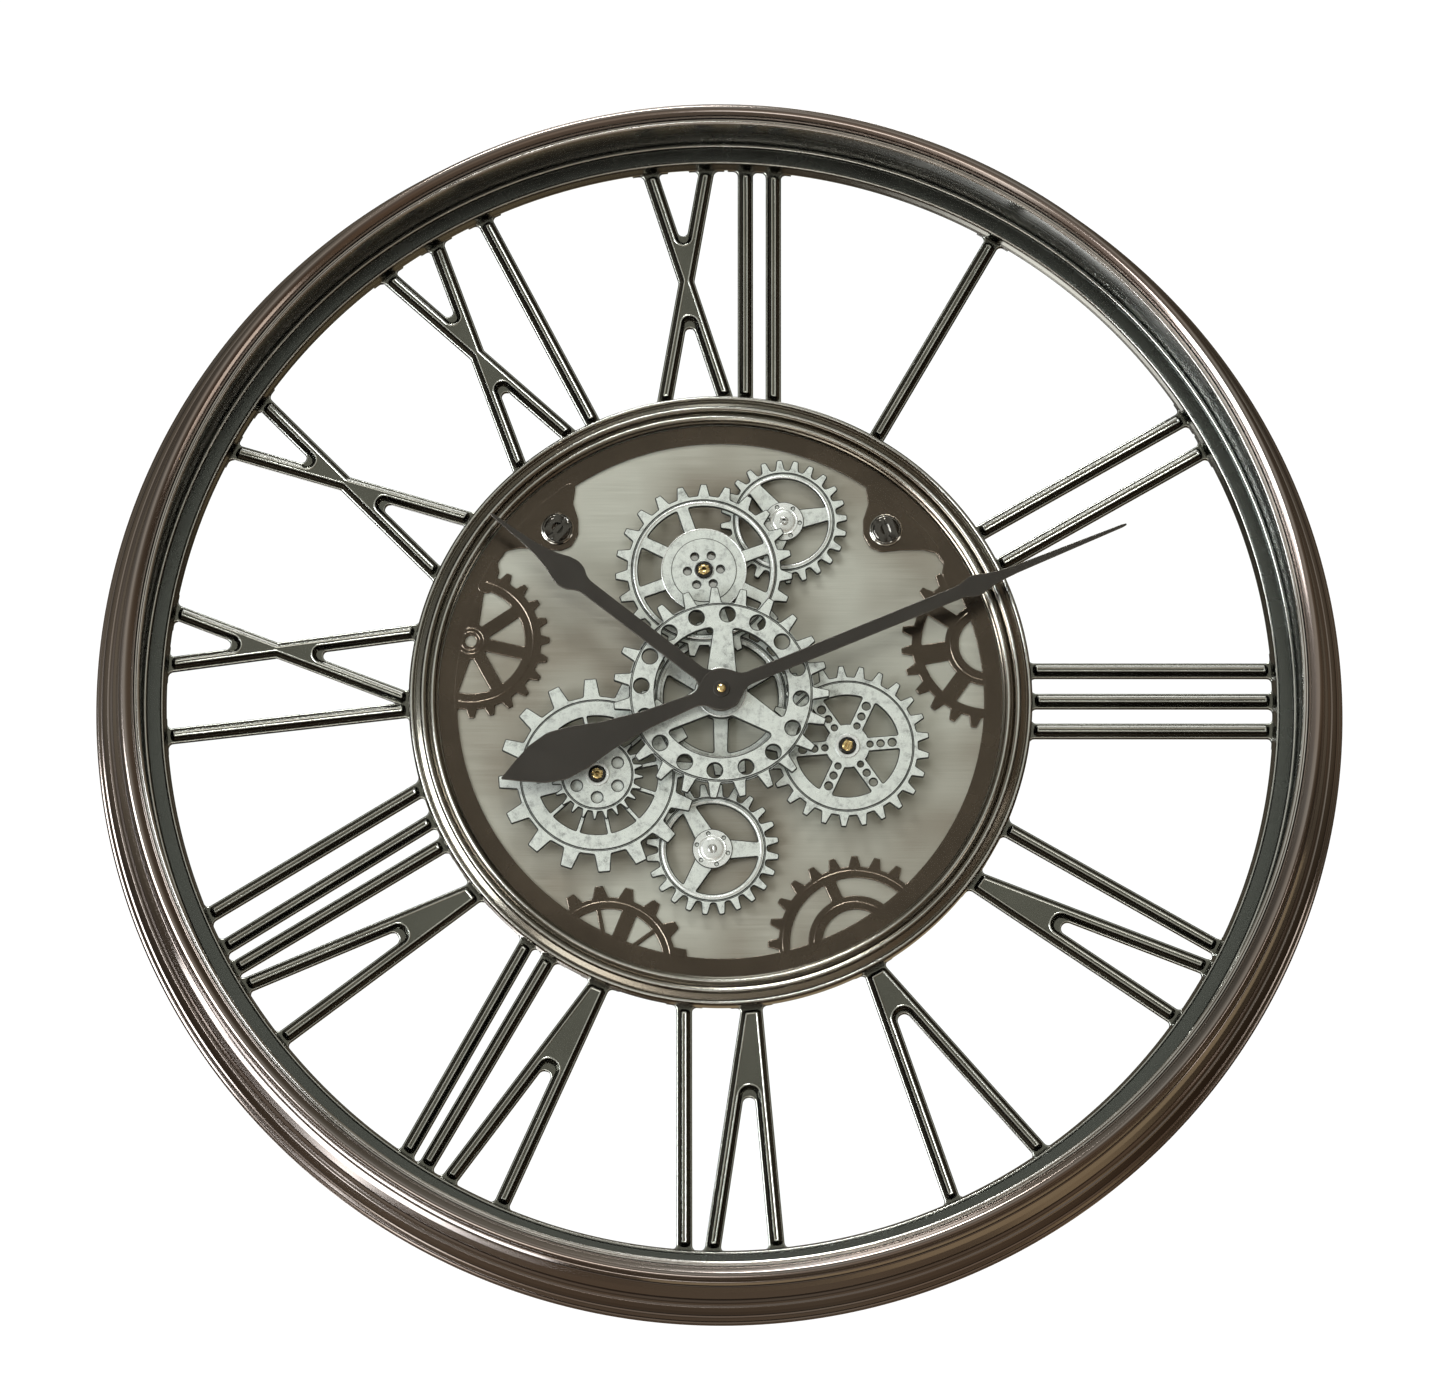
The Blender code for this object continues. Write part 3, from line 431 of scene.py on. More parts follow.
class Finish(Nodes):
    """An opaque material under construction."""

    def __init__(self, name, roughness, metallic, specular=0.5):
        self.material = bpy.data.materials.new(name)
        super().__init__(self.material)
        self.put("Roughness", roughness)
        self.put("Metallic", metallic)
        self.put("Specular IOR Level", specular)
        self.space = self.add("TexCoord").outputs["Object"]

    def put(self, name, value):
        """Feed an input of the surface shader."""
        self.feed(self.tree.nodes["Principled BSDF"].inputs[name], value)

    def rings(self, across, around):
        """Space for brush lines that run round the clock's axis."""
        flat = self.vector("MULTIPLY", self.space, (1, 0, 1))
        depth = self.add("SeparateXYZ", {0: self.space}).outputs["Y"]
        slope = self.math("ADD", self.math("MULTIPLY", self.vector("LENGTH", flat), across),
                          self.math("MULTIPLY", depth, across * 0.83))
        lines = self.add("CombineXYZ", {"Y": slope}).outputs[0]
        wide = self.vector("MULTIPLY", self.vector("NORMALIZE", flat), (around, around, around))
        return self.vector("ADD", lines, wide)

    def bump(self, height, strength, distance):
        """Raise the surface by a height."""
        node = self.add("Bump", {"Strength": strength, "Distance": distance, "Height": height})
        self.put("Normal", node.outputs["Normal"])

    def vary(self, factor, colour, share):
        """Colour the surface, darker and lighter by a share as the factor goes."""
        self.put("Base Color", self.ramp(factor, [(0.3, shade(colour, 1 - share)), (0.7, shade(colour, 1 + share))]))


def brushed_ring(name, colour, warm, roughness, across, around, contrast):
    """Lacquered metal brushed round the clock, with soft clouds of a warmer tone."""
    made = Finish(name, roughness, 1)
    lines = made.noise(made.rings(across, around), 1, 5, 0.6)
    clouds = made.noise(made.space, 7, 3, 0.5)
    base, tint = (
        made.ramp(lines, [(0.25, shade(tone, 1 - contrast)), (0.5, tone), (0.78, shade(tone, 1 + contrast))])
        for tone in (colour, warm)
    )
    made.put("Base Color", made.blend(made.span(clouds, 0, 1, 0.38, 0.62), base, tint))
    made.put("Roughness", made.span(lines, roughness - 0.02, roughness + 0.03))
    made.bump(lines, 0.01, 0.00003)
    return made.material


def mottled(name, colour, stain, roughness, metallic, scale, bite, depth):
    """Cast metal with an antique wash: patches of stain and fine pits."""
    made = Finish(name, roughness, metallic)
    patches = made.noise(made.space, scale, 9, 0.68)
    grain = made.noise(made.space, scale * 14, 3, 0.6)
    mixed = made.math("ADD", made.math("MULTIPLY", patches, 0.72), made.math("MULTIPLY", grain, 0.28))
    made.put("Base Color", made.ramp(mixed, [
        (bite - 0.16, stain), (bite - 0.05, shade(colour, 0.72)), (bite + 0.03, colour),
        (bite + 0.2, shade(colour, 1.16)),
    ]))
    made.put("Roughness", made.span(mixed, roughness + 0.16, roughness - 0.08, 0.36, 0.62))
    made.bump(mixed, depth, 0.00025)
    return made.material


def lacquer(name, colour, roughness, vary=0.12):
    """Smooth glossy metal lacquer whose tone wanders slowly."""
    made = Finish(name, roughness, 1)
    clouds = made.noise(made.space, 28, 4, 0.6)
    made.vary(clouds, colour, vary)
    made.put("Roughness", made.span(clouds, roughness - 0.03, roughness + 0.05))
    return made.material


def plain(name, colour, roughness, metallic, scale=160, vary=0.12, depth=0.08, specular=0.5):
    """Even finish with a slight grain."""
    made = Finish(name, roughness, metallic, specular)
    grain = made.noise(made.space, scale, 5, 0.6)
    made.vary(grain, colour, vary)
    made.put("Roughness", made.span(grain, roughness - 0.04, roughness + 0.06))
    made.bump(grain, depth, 0.0001)
    return made.material


def dial_metal():
    """Champagne plate brushed from side to side."""
    made = Finish("dial_champagne_brushed", 0.42, 0.85)
    lines = made.noise(made.vector("MULTIPLY", made.space, (22, 1, 1300)), 1, 4, 0.6)
    clouds = made.noise(made.space, 11, 2, 0.5)
    base = made.ramp(lines, [(0.25, (0.31, 0.28, 0.23)), (0.75, (0.385, 0.355, 0.3))])
    pale = made.ramp(lines, [(0.25, (0.52, 0.52, 0.46)), (0.75, (0.62, 0.615, 0.55))])
    made.put("Base Color", made.blend(made.span(clouds, 0, 1, 0.36, 0.6), base, pale))
    made.put("Roughness", made.span(lines, 0.36, 0.5))
    made.bump(lines, 0.08, 0.0001)
    return made.material


def clear_glass():
    """Thin clear pane: what is behind shows through, with a mirror share on its outer side."""
    material = bpy.data.materials.new("glass_pane_clear")
    glass = Nodes(material)
    glass.tree.nodes.remove(glass.tree.nodes["Principled BSDF"])
    through = glass.add("BsdfTransparent", {"Color": (0.985, 0.992, 0.988)})
    mirror = glass.add("BsdfGlossy", {"Roughness": 0.05})
    outward = glass.math("SUBTRACT", 1, glass.add("NewGeometry").outputs["Backfacing"])
    share = glass.math("MULTIPLY", outward, glass.add("Fresnel", {"IOR": 1.1}).outputs[0])
    glass.surface("Material Output", share, through, mirror)
    return material


RIM = brushed_ring("rim_bronze_brushed", (0.3, 0.27, 0.25), (0.3, 0.25, 0.22), 0.15, 420, 2, 0.05)
# Near-black finish: painted shade on the rings where the steps of the rim's wall meet
RIM_LINE_SHADE = plain("rim_line_painted_shade", (0.02, 0.016, 0.013), 0.45, 0.6)
# Pale pewter: painted highlight on the glass lip ring and on the raised rings of the liner, flange and bezel
LIP_HIGHLIGHT = lacquer("lip_pewter_painted_highlight", (0.62, 0.61, 0.58), 0.15)
LINER = lacquer("liner_dark_lacquer", (0.118, 0.124, 0.115), 0.25, 0.05)
BEZEL = brushed_ring("bezel_pewter_brushed", (0.27, 0.255, 0.22), (0.25, 0.215, 0.175), 0.16, 700, 4, 0.08)
FLANGE = lacquer("flange_pewter_lacquer", (0.14, 0.14, 0.122), 0.2)
NUMERAL = lacquer("numeral_pewter_lacquer", (0.15, 0.149, 0.128), 0.19)
# Pale pewter: painted highlight along the raised crest of each ridge and the top edge of each base
NUMERAL_HIGHLIGHT = lacquer("numeral_pewter_painted_highlight", (0.6, 0.6, 0.56), 0.22)
# Near-black: painted shade on the upper slopes of the ridges and the walls of the bases and foot tabs
NUMERAL_SIDE_SHADE = lacquer("numeral_pewter_painted_shade", (0.035, 0.035, 0.03), 0.24)
DIAL = dial_metal()
OVERLAY = lacquer("overlay_bronze_lacquer", (0.1, 0.079, 0.06), 0.25, 0.16)
# Light bronze: painted highlight on the rounded front edges and the raised ring lines of the overlay
OVERLAY_HIGHLIGHT = lacquer("overlay_bronze_painted_highlight", (0.21, 0.172, 0.14), 0.22)
# Near-black: patina and painted shade on the walls of the overlay
OVERLAY_WALL_PATINA_SHADE = plain("overlay_bronze_patina_and_painted_shade", (0.02, 0.017, 0.014), 0.5, 0.6)
GEAR = mottled("gear_silver_wash", (0.8, 0.835, 0.8), (0.14, 0.145, 0.135), 0.33, 0.75, 170, 0.47, 0.55)
GEAR_EDGE = mottled("gear_silver_edge", (0.88, 0.9, 0.88), (0.4, 0.41, 0.39), 0.28, 0.8, 170, 0.45, 0.2)
# Near-black: patina and painted shade on gear edges and walls, in engraved lines and in screw slots
GEAR_WALL_PATINA_SHADE = plain("gear_silver_patina_and_painted_shade", (0.035, 0.036, 0.033), 0.5, 0.6, 80, 0.3, 0.2)
HAND = plain("hand_black_satin", (0.028, 0.024, 0.02), 0.33, 0.2, 60, 0.1, 0.02, 0.4)
# Lighter black: painted highlight on the eased edges and sides of the hands
HAND_HIGHLIGHT = plain("hand_black_painted_highlight", (0.1, 0.088, 0.076), 0.24, 0.6, 60, 0.1, 0.02, 0.5)
BRASS = plain("brass_turned", (0.78, 0.58, 0.27), 0.24, 1)
# Dark brass: painted shade on the floor of the screw slots
BRASS_SLOT_SHADE = plain("brass_slot_painted_shade", (0.16, 0.11, 0.05), 0.5, 1)
STEEL = plain("steel_bright", (0.6, 0.6, 0.59), 0.22, 1)
STEEL_DARK = plain("steel_blackened", (0.05, 0.047, 0.043), 0.2, 0.9)
SCREW_DARK = lacquer("screw_blackened", (0.1, 0.093, 0.085), 0.12)
# Pale steel: painted highlight on the ring and step edge round the overlay screws
SCREW_SHINE = lacquer("screw_painted_highlight_edge", (0.62, 0.6, 0.56), 0.14)
STEEL_SHEET = mottled("steel_plate_galvanised", (0.5, 0.51, 0.5), (0.4, 0.41, 0.41), 0.38, 1, 70, 0.5, 0.1)
GLASS = clear_glass()
BLACK_PLASTIC = plain("black_plastic_moulded", (0.022, 0.022, 0.022), 0.5, 0, 900, 0.2, 0.3)
WHITE_PLASTIC = plain("white_plastic_moulded", (0.74, 0.73, 0.68), 0.42, 0, 500, 0.04, 0.12)
COVER = plain("cover_black_painted", (0.028, 0.028, 0.028), 0.48, 0.2, 700, 0.25, 0.35)
RUBBER = plain("rubber_black_soft", (0.02, 0.02, 0.02), 0.8, 0, 400, 0.2, 0.3)
WRAP = plain("battery_wrap_blue", (0.05, 0.09, 0.18), 0.28, 0.2, 300, 0.06, 0.05)


# ---- rim, liner and glass
# Radius and depth of the near-black raised rings, painted shade for the dark lines that part the steps of the rim's
# wall
RIM_LINES = ((397.6, 16.2), (394.45, 25), (389.15, 35.4), (386.8, 42.3), (381.1, 65.8), (378.6, 74.2))
# Segments of each rounded corner and of each raised ring
COARSE, FINE = (4, 4), (5, 6)
# Piece, node, slot, materials, segments, raised rings as (radius, half width, depth, height),
# and the profile as (radius, depth, corner radius)
RIM_RINGS = (
    ("rim_shell", "outer_rim", "rim_bronze", [RIM, RIM_LINE_SHADE], COARSE,
     [(ring, 0.6, depth, 0.8) for ring, depth in RIM_LINES], (
        (394.6, 3.1, 0.4), (396.2, 3.1, 0.5), (399.5, 11, 1), (400, 13.2, 0.8), (399.2, 15.8, 0.8),
        (398, 16.4, 0.3), (397.7, 19.6, 2), (396.4, 24, 1), (395.2, 24.6, 0.3), (394.7, 25.8, 0.4),
        (393.3, 29, 4), (391.6, 33.6, 1), (391.3, 34.8, 0.3), (389.7, 35, 0.2), (389.5, 36.4, 0.2),
        (390.2, 37.2, 0.5), (389.2, 40.6, 2), (387.4, 41.8, 0.6), (386.9, 45.6, 0.6), (384.3, 55, 30),
        (382.3, 65, 0.5), (381.5, 65.5, 0.3), (380.5, 73.4, 0.5), (379, 74, 0.2), (379.1, 75, 0.2),
        (380.3, 75.6, 0.5), (380.4, 77.6, 0.5), (379.7, 78.2, 0.2), (379.8, 84.6, 1.6), (377.8, 86, 3),
        (375.2, 85.5, 6), (372.7, 83.4, 1.2), (372, 81.9, 0.3), (371.6, 82.1, 0.2), (371.3, 81.4, 0.2),
        (371.3, 74.2, 0.3), (372.5, 74.2, 0.3), (372.8, 81, 0.8), (375.2, 84.2, 0.8), (377.8, 77.6, 0.8),
        (387.2, 36, 1), (398.1, 13, 1),
    )),
    ("liner_shell", "rim_liner", "liner_dark", [LINER, LIP_HIGHLIGHT], FINE, [(367.5, 1, 34.1, 0.55)], (
        (370.8, 75.2, 0.2), (370.6, 30.5, 0.2), (357.7, 30.5, 0.3), (357.7, 32.1, 0.4),
        (365.8, 32.4, 0.3), (366.6, 34.3, 0.9), (368.4, 34.3, 0.9), (369.1, 32.9, 0.3),
        (369.4, 40, 0.5), (369.3, 54.4, 0.3), (368.7, 55, 0.4), (368.7, 56.2, 0.4), (369.3, 56.8, 0.3),
        (369.2, 69.8, 0.4), (368.5, 70.6, 0.4), (368.5, 75.2, 0.3),
    )),
    ("lip_ring", "glass_retaining_ring", "rim_bronze", [LIP_HIGHLIGHT], FINE, [], (
        (370.8, 78.8, 0.2), (370.8, 80.3, 0.5), (369.9, 80, 0.3), (369.1, 80.8, 0.6),
        (367.9, 80.3, 0.5), (367.4, 78.8, 0.2),
    )),
    ("flange_ring", "numeral_flange", "pewter", [FLANGE, LIP_HIGHLIGHT], FINE, [(356.7, 0.8, 32.1, 0.6)], (
        (391.8, 22.1, 0.3), (391.8, 24.7, 0.3), (362.2, 24.7, 0.4), (358, 30, 0.6),
        (357.4, 32.2, 0.7), (356, 32.6, 0.7), (355.4, 30.6, 0.6), (354.5, 26.4, 1.6),
        (354, 24.6, 0.5), (354.1, 22.1, 0.5),
    )),
)
CASE_RINGS = (
    ("bezel_ring", "bezel", "pewter", [BEZEL, LIP_HIGHLIGHT], FINE,
     [(197.6, 0.8, 34, 0.4), (190.3, 0.8, 36.75, 0.4), (184.1, 0.8, 36.25, 0.4)], (
        (199.4, 22.1, 0.3), (199.4, 31.6, 1.2), (198.6, 33.9, 1.2), (196.8, 34.3, 1),
        (195.9, 32.2, 0.3), (195.4, 32.3, 0.3), (192, 34.1, 0.5), (191.7, 36, 0.6),
        (190.4, 37, 1), (188.4, 36.2, 1), (187.2, 33.8, 0.7), (186.2, 33.2, 0.3),
        (185.6, 35.6, 0.8), (184.2, 36.5, 0.8), (182.4, 35.6, 0.8), (181.9, 33.4, 0.4),
        (181, 32.8, 0.4), (181, 27.5, 0.2), (189, 27.5, 0.2), (189, 22.1, 0.2),
    )),
    ("pan_shell", "housing_pan", "cover_black", [COVER], FINE, [], (
        (188, 24.9, 0.2), (188, 2.1, 2.4), (150, 2.1, 0.3), (150, 3.1, 0.3),
        (186.4, 3.2, 1.8), (186.4, 24.9, 0.2),
    )),
)


def make_rings(table):
    """Turned rings of the case, each with its raised rings of a second material: near-black painted shade on the
    rim, a painted highlight on the liner, flange and bezel.
    """
    for name, node, slot, materials, (arc, rows), raised, profile in table:
        work = bmesh.new()
        outline = [(radius, depth) for radius, depth, _ in profile]
        lathe(work, bent(outline, [corner for _, _, corner in profile], steps=arc))
        for ring, half, depth, height in raised:
            bead(work, ring, half, depth, height, steps=RING_STEPS, rows=rows, index=1)
        piece(name, work, materials, "case", [node])


def make_glass():
    """Glass pane with a broken edge."""
    back, front = layer("front_glass")
    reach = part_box("front_glass")[1].x / MM
    edge = 0.6
    work = bmesh.new()
    lathe(work, [(0, front), (reach - edge, front), (reach, front - edge),
                 (reach, back + edge), (reach - edge, back), (0, back)])
    piece("glass_pane", work, [GLASS], "case", ["front_glass"])


# ---- numerals
# A stroke is (offset at the bezel, offset at the flange), clockwise.
FIGURES = (
    (1, 30, (("bar", (0, 0)),)),
    (2, 60, (("bar", (-13, -13)), ("bar", (12, 12)))),
    (3, 90, (("bar", (-20.5, -21)), ("bar", (-0.5, -1)), ("bar", (19, 18.5)))),
    (4, 120, (("bar", (-19.5, -20)), ("vee", (18.6, -6), (21.4, 33)))),
    (5, 150, (("vee", (1, -31), (4, 35)),)),
    (6, 180, (("vee", (-21.4, -36), (-18.4, 5.5)), ("bar", (23, 22.7)))),
    (7, 210, (("vee", (-27.3, -43.7), (-24.3, -6)), ("bar", (10.6, 10.4)), ("bar", (27.4, 24.9)))),
    (8, 240, (("vee", (-31.8, -52.5), (-28.6, -9.8)), ("bar", (6.6, 2.4)), ("bar", (23.8, 17.8)),
              ("bar", (45.2, 40.6)))),
    (9, 270, (("bar", (-6, -24.8)), ("cross", (-1, 59.8), (44.5, 22.2)))),
    (10, 300, (("cross", (-19.8, 23), (23.1, -16)),)),
    (11, 330, (("cross", (-35.5, -8.4), (4.5, -48)), ("bar", (20.3, 26.8)))),
    (12, 0, (("cross", (-36.2, -8.6), (4.4, -47.5)), ("bar", (16.1, 16.2)), ("bar", (34.2, 34.5)))),
)
STROKE_IN, STROKE_OUT = 197, 356.5
BEZEL_EDGE, FLANGE_EDGE = 199.4, 354
BASE_HALF, RIDGE_HALF = 5, 1.6
BASE_LAYER = (19.2, 22.6)
RIDGE_TOP = 27
# Material indices down the side of a ridge, from its top to its foot: 2 is the painted highlight on the raised
# crest, 1 the painted shade on the upper slope
RIDGE_PAINT = [0, 2, 2, 2, 1, 1, 1, 1, 0, 0, 0, 0, 0, 0]
FLARE = 5
# How far apart two bars' lines are where the open part between them ends
BASE_GAP = {"vee": 17.3, "cross": 15.5}
RIDGE_GAP = {"vee": 15.6, "cross": 12}


class Stroke:
    """Straight bar of a numeral in the numeral's own frame."""

    def __init__(self, ends, half):
        self.start, self.stop = ends
        self.tilt = (self.stop - self.start) / (STROKE_OUT - STROKE_IN)
        self.half = half * math.hypot(1, self.tilt)

    def at(self, along, side=0):
        """Point on the bar's line, or on one of its edges."""
        return (self.start + self.tilt * (along - STROKE_IN) + side * self.half, along)

    def on_ring(self, radius, side=0):
        """Point of the bar's edge on a ring about the clock's axis."""
        along = radius
        for _ in range(4):
            along = math.sqrt(radius ** 2 - self.at(along, side)[0] ** 2)
        return self.at(along, side)

    def apart(self, other, gap):
        """Distance out where another bar's line is a gap further clockwise."""
        return STROKE_IN + (gap - other.start + self.start) / (other.tilt - self.tilt)

    def crossing(self, other, side):
        """Where like edges of two bars meet."""
        gap = self.at(STROKE_IN, side)[0] - other.at(STROKE_IN, side)[0]
        return self.at(STROKE_IN + gap / (other.tilt - self.tilt), side)


def end_points(left, right, ring, beyond, flare):
    """Flared end of a stroke on a ring, from its left edge to its right edge."""
    points = []
    first = left.on_ring(ring, -1)
    last = right.on_ring(ring, 1)
    if not flare:
        return [(first, 0.7), (last, 0.7)]
    for (x, along), side in ((first, -1), (last, 1)):
        out = x + side * (flare + 1.5)
        edge = math.sqrt(ring ** 2 - out ** 2)
        trio = [((x, along), flare), ((out, edge), 0), ((out, edge + beyond), 0)]
        points += trio if side < 0 else trio[::-1]
    return points


def figure_outline(kind, strokes, rings, gap, flare):
    """Corner points and corner radii of one letter."""
    low, high = rings
    ordered = sorted(strokes, key=lambda s: s.at(low)[0])
    left, right = ordered[0], ordered[-1]
    top = sorted(strokes, key=lambda s: s.at(high)[0])
    points = []
    elbow = 2 if flare else 4.4
    if kind == "cross":
        points.append((left.crossing(right, -1), elbow))
    points += end_points(top[0], top[0], high, 3, flare)
    if kind != "bar":
        level = top[0].apart(top[-1], gap)
        points += [(top[0].at(level, 1), 9), (top[-1].at(level, -1), 9)]
        points += end_points(top[-1], top[-1], high, 3, flare)
    if kind == "cross":
        points.append((left.crossing(right, 1), elbow))
        points += end_points(right, right, low, -3, flare)[::-1]
        level = left.apart(right, gap)
        points += [(right.at(level, -1), 9), (left.at(level, 1), 9)]
        points += end_points(left, left, low, -3, flare)[::-1]
    else:
        points += end_points(left, right, low, -3, flare)[::-1]
    return points


def on_dial(clock, point):
    """Point of a numeral's own frame on the dial."""
    aside, along = point
    return polar(aside, clock + 90, polar(along, clock))


def letter_loop(clock, kind, ends, half, rings, gap, flare):
    """Rounded outline of one letter on the dial."""
    strokes = [Stroke(pair, half) for pair in ends]
    corners = figure_outline(kind, strokes, rings, gap, flare)
    outline = [on_dial(clock, point) for point, _ in corners]
    return bent(outline, [radius for _, radius in corners], steps=8)


def cove(top, foot, reach, steps=7):
    """Profile of a plateau with a fine raised edge that falls to a wide foot in a hollow curve."""
    edge = ((1.25, 0.3), (1.05, 0.24), (0.85, 0.06), (0.45, 0), (0.15, 0.1), (0.02, 0.3))
    profile = [(inset, top - drop) for inset, drop in edge]
    for k in range(steps + 1):
        share = k / steps
        fall = (top - 0.5 - foot) * (1 - (1 - share) ** 1.7)
        profile.append((-reach * share, top - 0.5 - fall))
    profile.append((-reach, foot - 0.8))
    return profile


def foot_tab(work, inner, outer, first, last, steps=10, screws=2):
    """Curved foot behind a ring, with the screws that hold it."""
    turns = [first + (last - first) * k / steps for k in range(steps + 1)]
    loop = [polar(outer, clock) for clock in turns]
    loop += [polar(inner, clock) for clock in reversed(turns)]
    # Its wall takes material 1, the numerals' painted shade
    relief(work, [bent(loop, 1.2, steps=2)], eased(19.4, 21.6, 0.3), [0, 0, 0, 1, 1])
    for k in range(screws):
        centre = polar((inner + outer) / 2, first + (last - first) * (k + 0.5) / screws)
        lathe(work, [(0, 18), (1.9, 18.1), (2.6, 18.7), (2.7, 19.6), (0, 19.6)], SMALL_STEPS, centre)


def make_numerals():
    """Twelve cast numerals: a flat base flared into both rings and a hollow-sided ridge, with a painted highlight on
    the crest and base edge and painted shade on the upper slopes and walls.
    """
    foot = BASE_LAYER[1]
    for number, clock, letters in FIGURES:
        work = bmesh.new()
        for order, (kind, *ends) in enumerate(letters):
            lift = order * 0.01
            base = letter_loop(clock, kind, ends, BASE_HALF, (BEZEL_EDGE, FLANGE_EDGE),
                               BASE_GAP.get(kind), FLARE)
            relief(work, [base], eased(BASE_LAYER[0] + lift, foot + lift, 0.9), [2, 1, 1, 1, 1])
            ridge = letter_loop(clock, kind, ends, RIDGE_HALF, (BEZEL_EDGE + 4.2, FLANGE_EDGE - 4),
                                RIDGE_GAP.get(kind), 0)
            relief(work, [ridge], cove(RIDGE_TOP, foot - 0.4 + lift, 3.1), RIDGE_PAINT)
        inner = [math.degrees(math.atan2(e[0], STROKE_IN)) for _, *ends in letters for e in ends]
        outer = [math.degrees(math.atan2(e[1], STROKE_OUT)) for _, *ends in letters for e in ends]
        foot_tab(work, 190.2, 198.6, clock + min(inner) - 2.2, clock + max(inner) + 2.2)
        foot_tab(work, 355.2, 365.8, clock + min(outer) - 1.4, clock + max(outer) + 1.4)
        piece(f"figure_{number:02d}", work, [NUMERAL, NUMERAL_SIDE_SHADE, NUMERAL_HIGHLIGHT], "case",
              [f"numeral_{number:02d}"])


# ---- centre case
def make_dial():
    """Dial plate with a hole for each arbor."""
    back, front = layer("dial_plate")
    work = bmesh.new()
    loops = [circle(186.5, steps=RING_STEPS), circle(9, steps=SMALL_STEPS)]
    for body in ("upper", "upper_right", "right", "lower_left", "lower"):
        loops.append(circle(3.1, AXIS[body], SMALL_STEPS))
    relief(work, loops, eased(back, front, 0.2))
    piece("dial_face", work, [DIAL], "case", ["dial_plate"])


def rounded_box(centre, half_width, half_height, corner):
    """Rounded rectangle about a centre."""
    x, z = centre
    w, h = half_width, half_height
    return bent([(x - w, z - h), (x - w, z + h), (x + w, z + h), (x + w, z - h)], corner)


def make_back():
    """Back cover with its bays, vents and spot welds, and the setting knob."""
    back, front = layer("back_cover")
    switch_x, switch_z = middle("motor_switch")
    knob = middle("setting_knob")
    loops = [circle(168, steps=RING_STEPS)]
    loops.append(rounded_box(middle("movement_battery"), 27, 8.5, 1.5))
    loops.append(rounded_box(middle("motor_battery"), 29, 8.5, 1.5))
    loops.append(rounded_box((switch_x + 1.5, switch_z), 8, 4, 1))
    loops.append(circle(7.6, knob, SMALL_STEPS))
    for row in range(5):
        for side in (-1, 1):
            loops.append(rounded_box((side * 34, -70 - 9 * row), 22, 1.6, 1.5))
    work = bmesh.new()
    flat = [(0.3, front), (0, front - 0.3), (0, back + 0.35), (0.1, back + 0.1), (0.35, back)]
    relief(work, loops, flat)
    weld = [(0, front + 0.3), (3.4, front + 0.3), (3.4, back + 0.2), (2.9, back + 0.05), (0, back + 0.05)]
    for k in range(8):
        lathe(work, weld, SMALL_STEPS, polar(159, 22.5 + 45 * k))
    piece("back_shell", work, [COVER], "case", ["back_cover"])

    work = bmesh.new()
    back, front = layer("setting_knob")
    ribs = [polar(6 - 0.35 * (k % 2), 7.5 * k, knob) for k in range(48)]
    relief(work, [ribs], [(0, front), (0, back + 0.7), (0.3, back + 0.2), (0.9, back)])
    piece("knob_wheel", work, [WHITE_PLASTIC], "knob", ["setting_knob"])


def make_cell(node):
    """Round cell with a crimped sleeve and a raised contact."""
    low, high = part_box(node)
    centre = (low + high) / 2
    nub = 0.5
    half = (high.x - low.x) / 2 / MM - nub
    radius = (high.z - low.z) / 2 / MM
    work = bmesh.new()
    profile = bent([(0, half + nub), (2.6, half + nub), (2.6, half - 0.6), (radius - 0.9, half - 0.6),
                    (radius - 0.6, half - 1.2), (radius, half - 1.8), (radius, 1.4 - half),
                    (radius - 0.8, 0.6 - half), (0, 0.6 - half)], 0.25, closed=False, steps=2)
    lathe(work, profile[::-1], DISC_STEPS)
    for vert in work.verts:
        x, y, z = vert.co
        vert.co = (centre.x - y - nub * MM, centre.y + x, centre.z + z)
    for face in work.faces:
        along = face.calc_center_median().x - centre.x
        face.material_index = 1 if abs(along) > (half - 1.4) * MM else 0
    piece(node + "_cell", work, [WRAP, STEEL], "case", [node])


def make_wall_fittings():
    """Keyhole hanger with its rivets, and the two bumpers."""
    back, front = layer("hanger_plate")
    x, z = middle("hanger_plate")
    hole, neck = 4.6, 2.4
    keyhole = [polar(hole, clock, (x, z - 4)) for clock in range(35, 326, 10)]
    keyhole += [(x - neck, z + 4), (x - neck * 0.7, z + 5), (x + neck * 0.7, z + 5), (x + neck, z + 4)]
    work = bmesh.new()
    relief(work, [rounded_box((x, z), 34.8, 10.8, 4), keyhole], eased(back, front, 0.35))
    for across in (-17, -28, 17, 28):
        lathe(work, [(0, 0.3), (1.6, 0.5), (2.4, 1), (2.4, 1.4), (0, 1.4)], SMALL_STEPS, (x + across, z))
    piece("hanger_bracket", work, [STEEL_SHEET], "case", ["hanger_plate"])
    for node in ("bumper_left", "bumper_right"):
        back, front = layer(node)
        work = bmesh.new()
        profile = [(0, back), (4.6, back + 0.2), (6.2, back + 0.9), (7, front), (0, front)]
        lathe(work, bent(profile, 0.5, closed=False, steps=3), PIN_STEPS, middle(node))
        piece(node + "_pad", work, [RUBBER], "case", [node])


# ---- overlay plate
OVERLAY_IN, OVERLAY_OUT, OVERLAY_TOP = 168.5, 180.5, 28.6
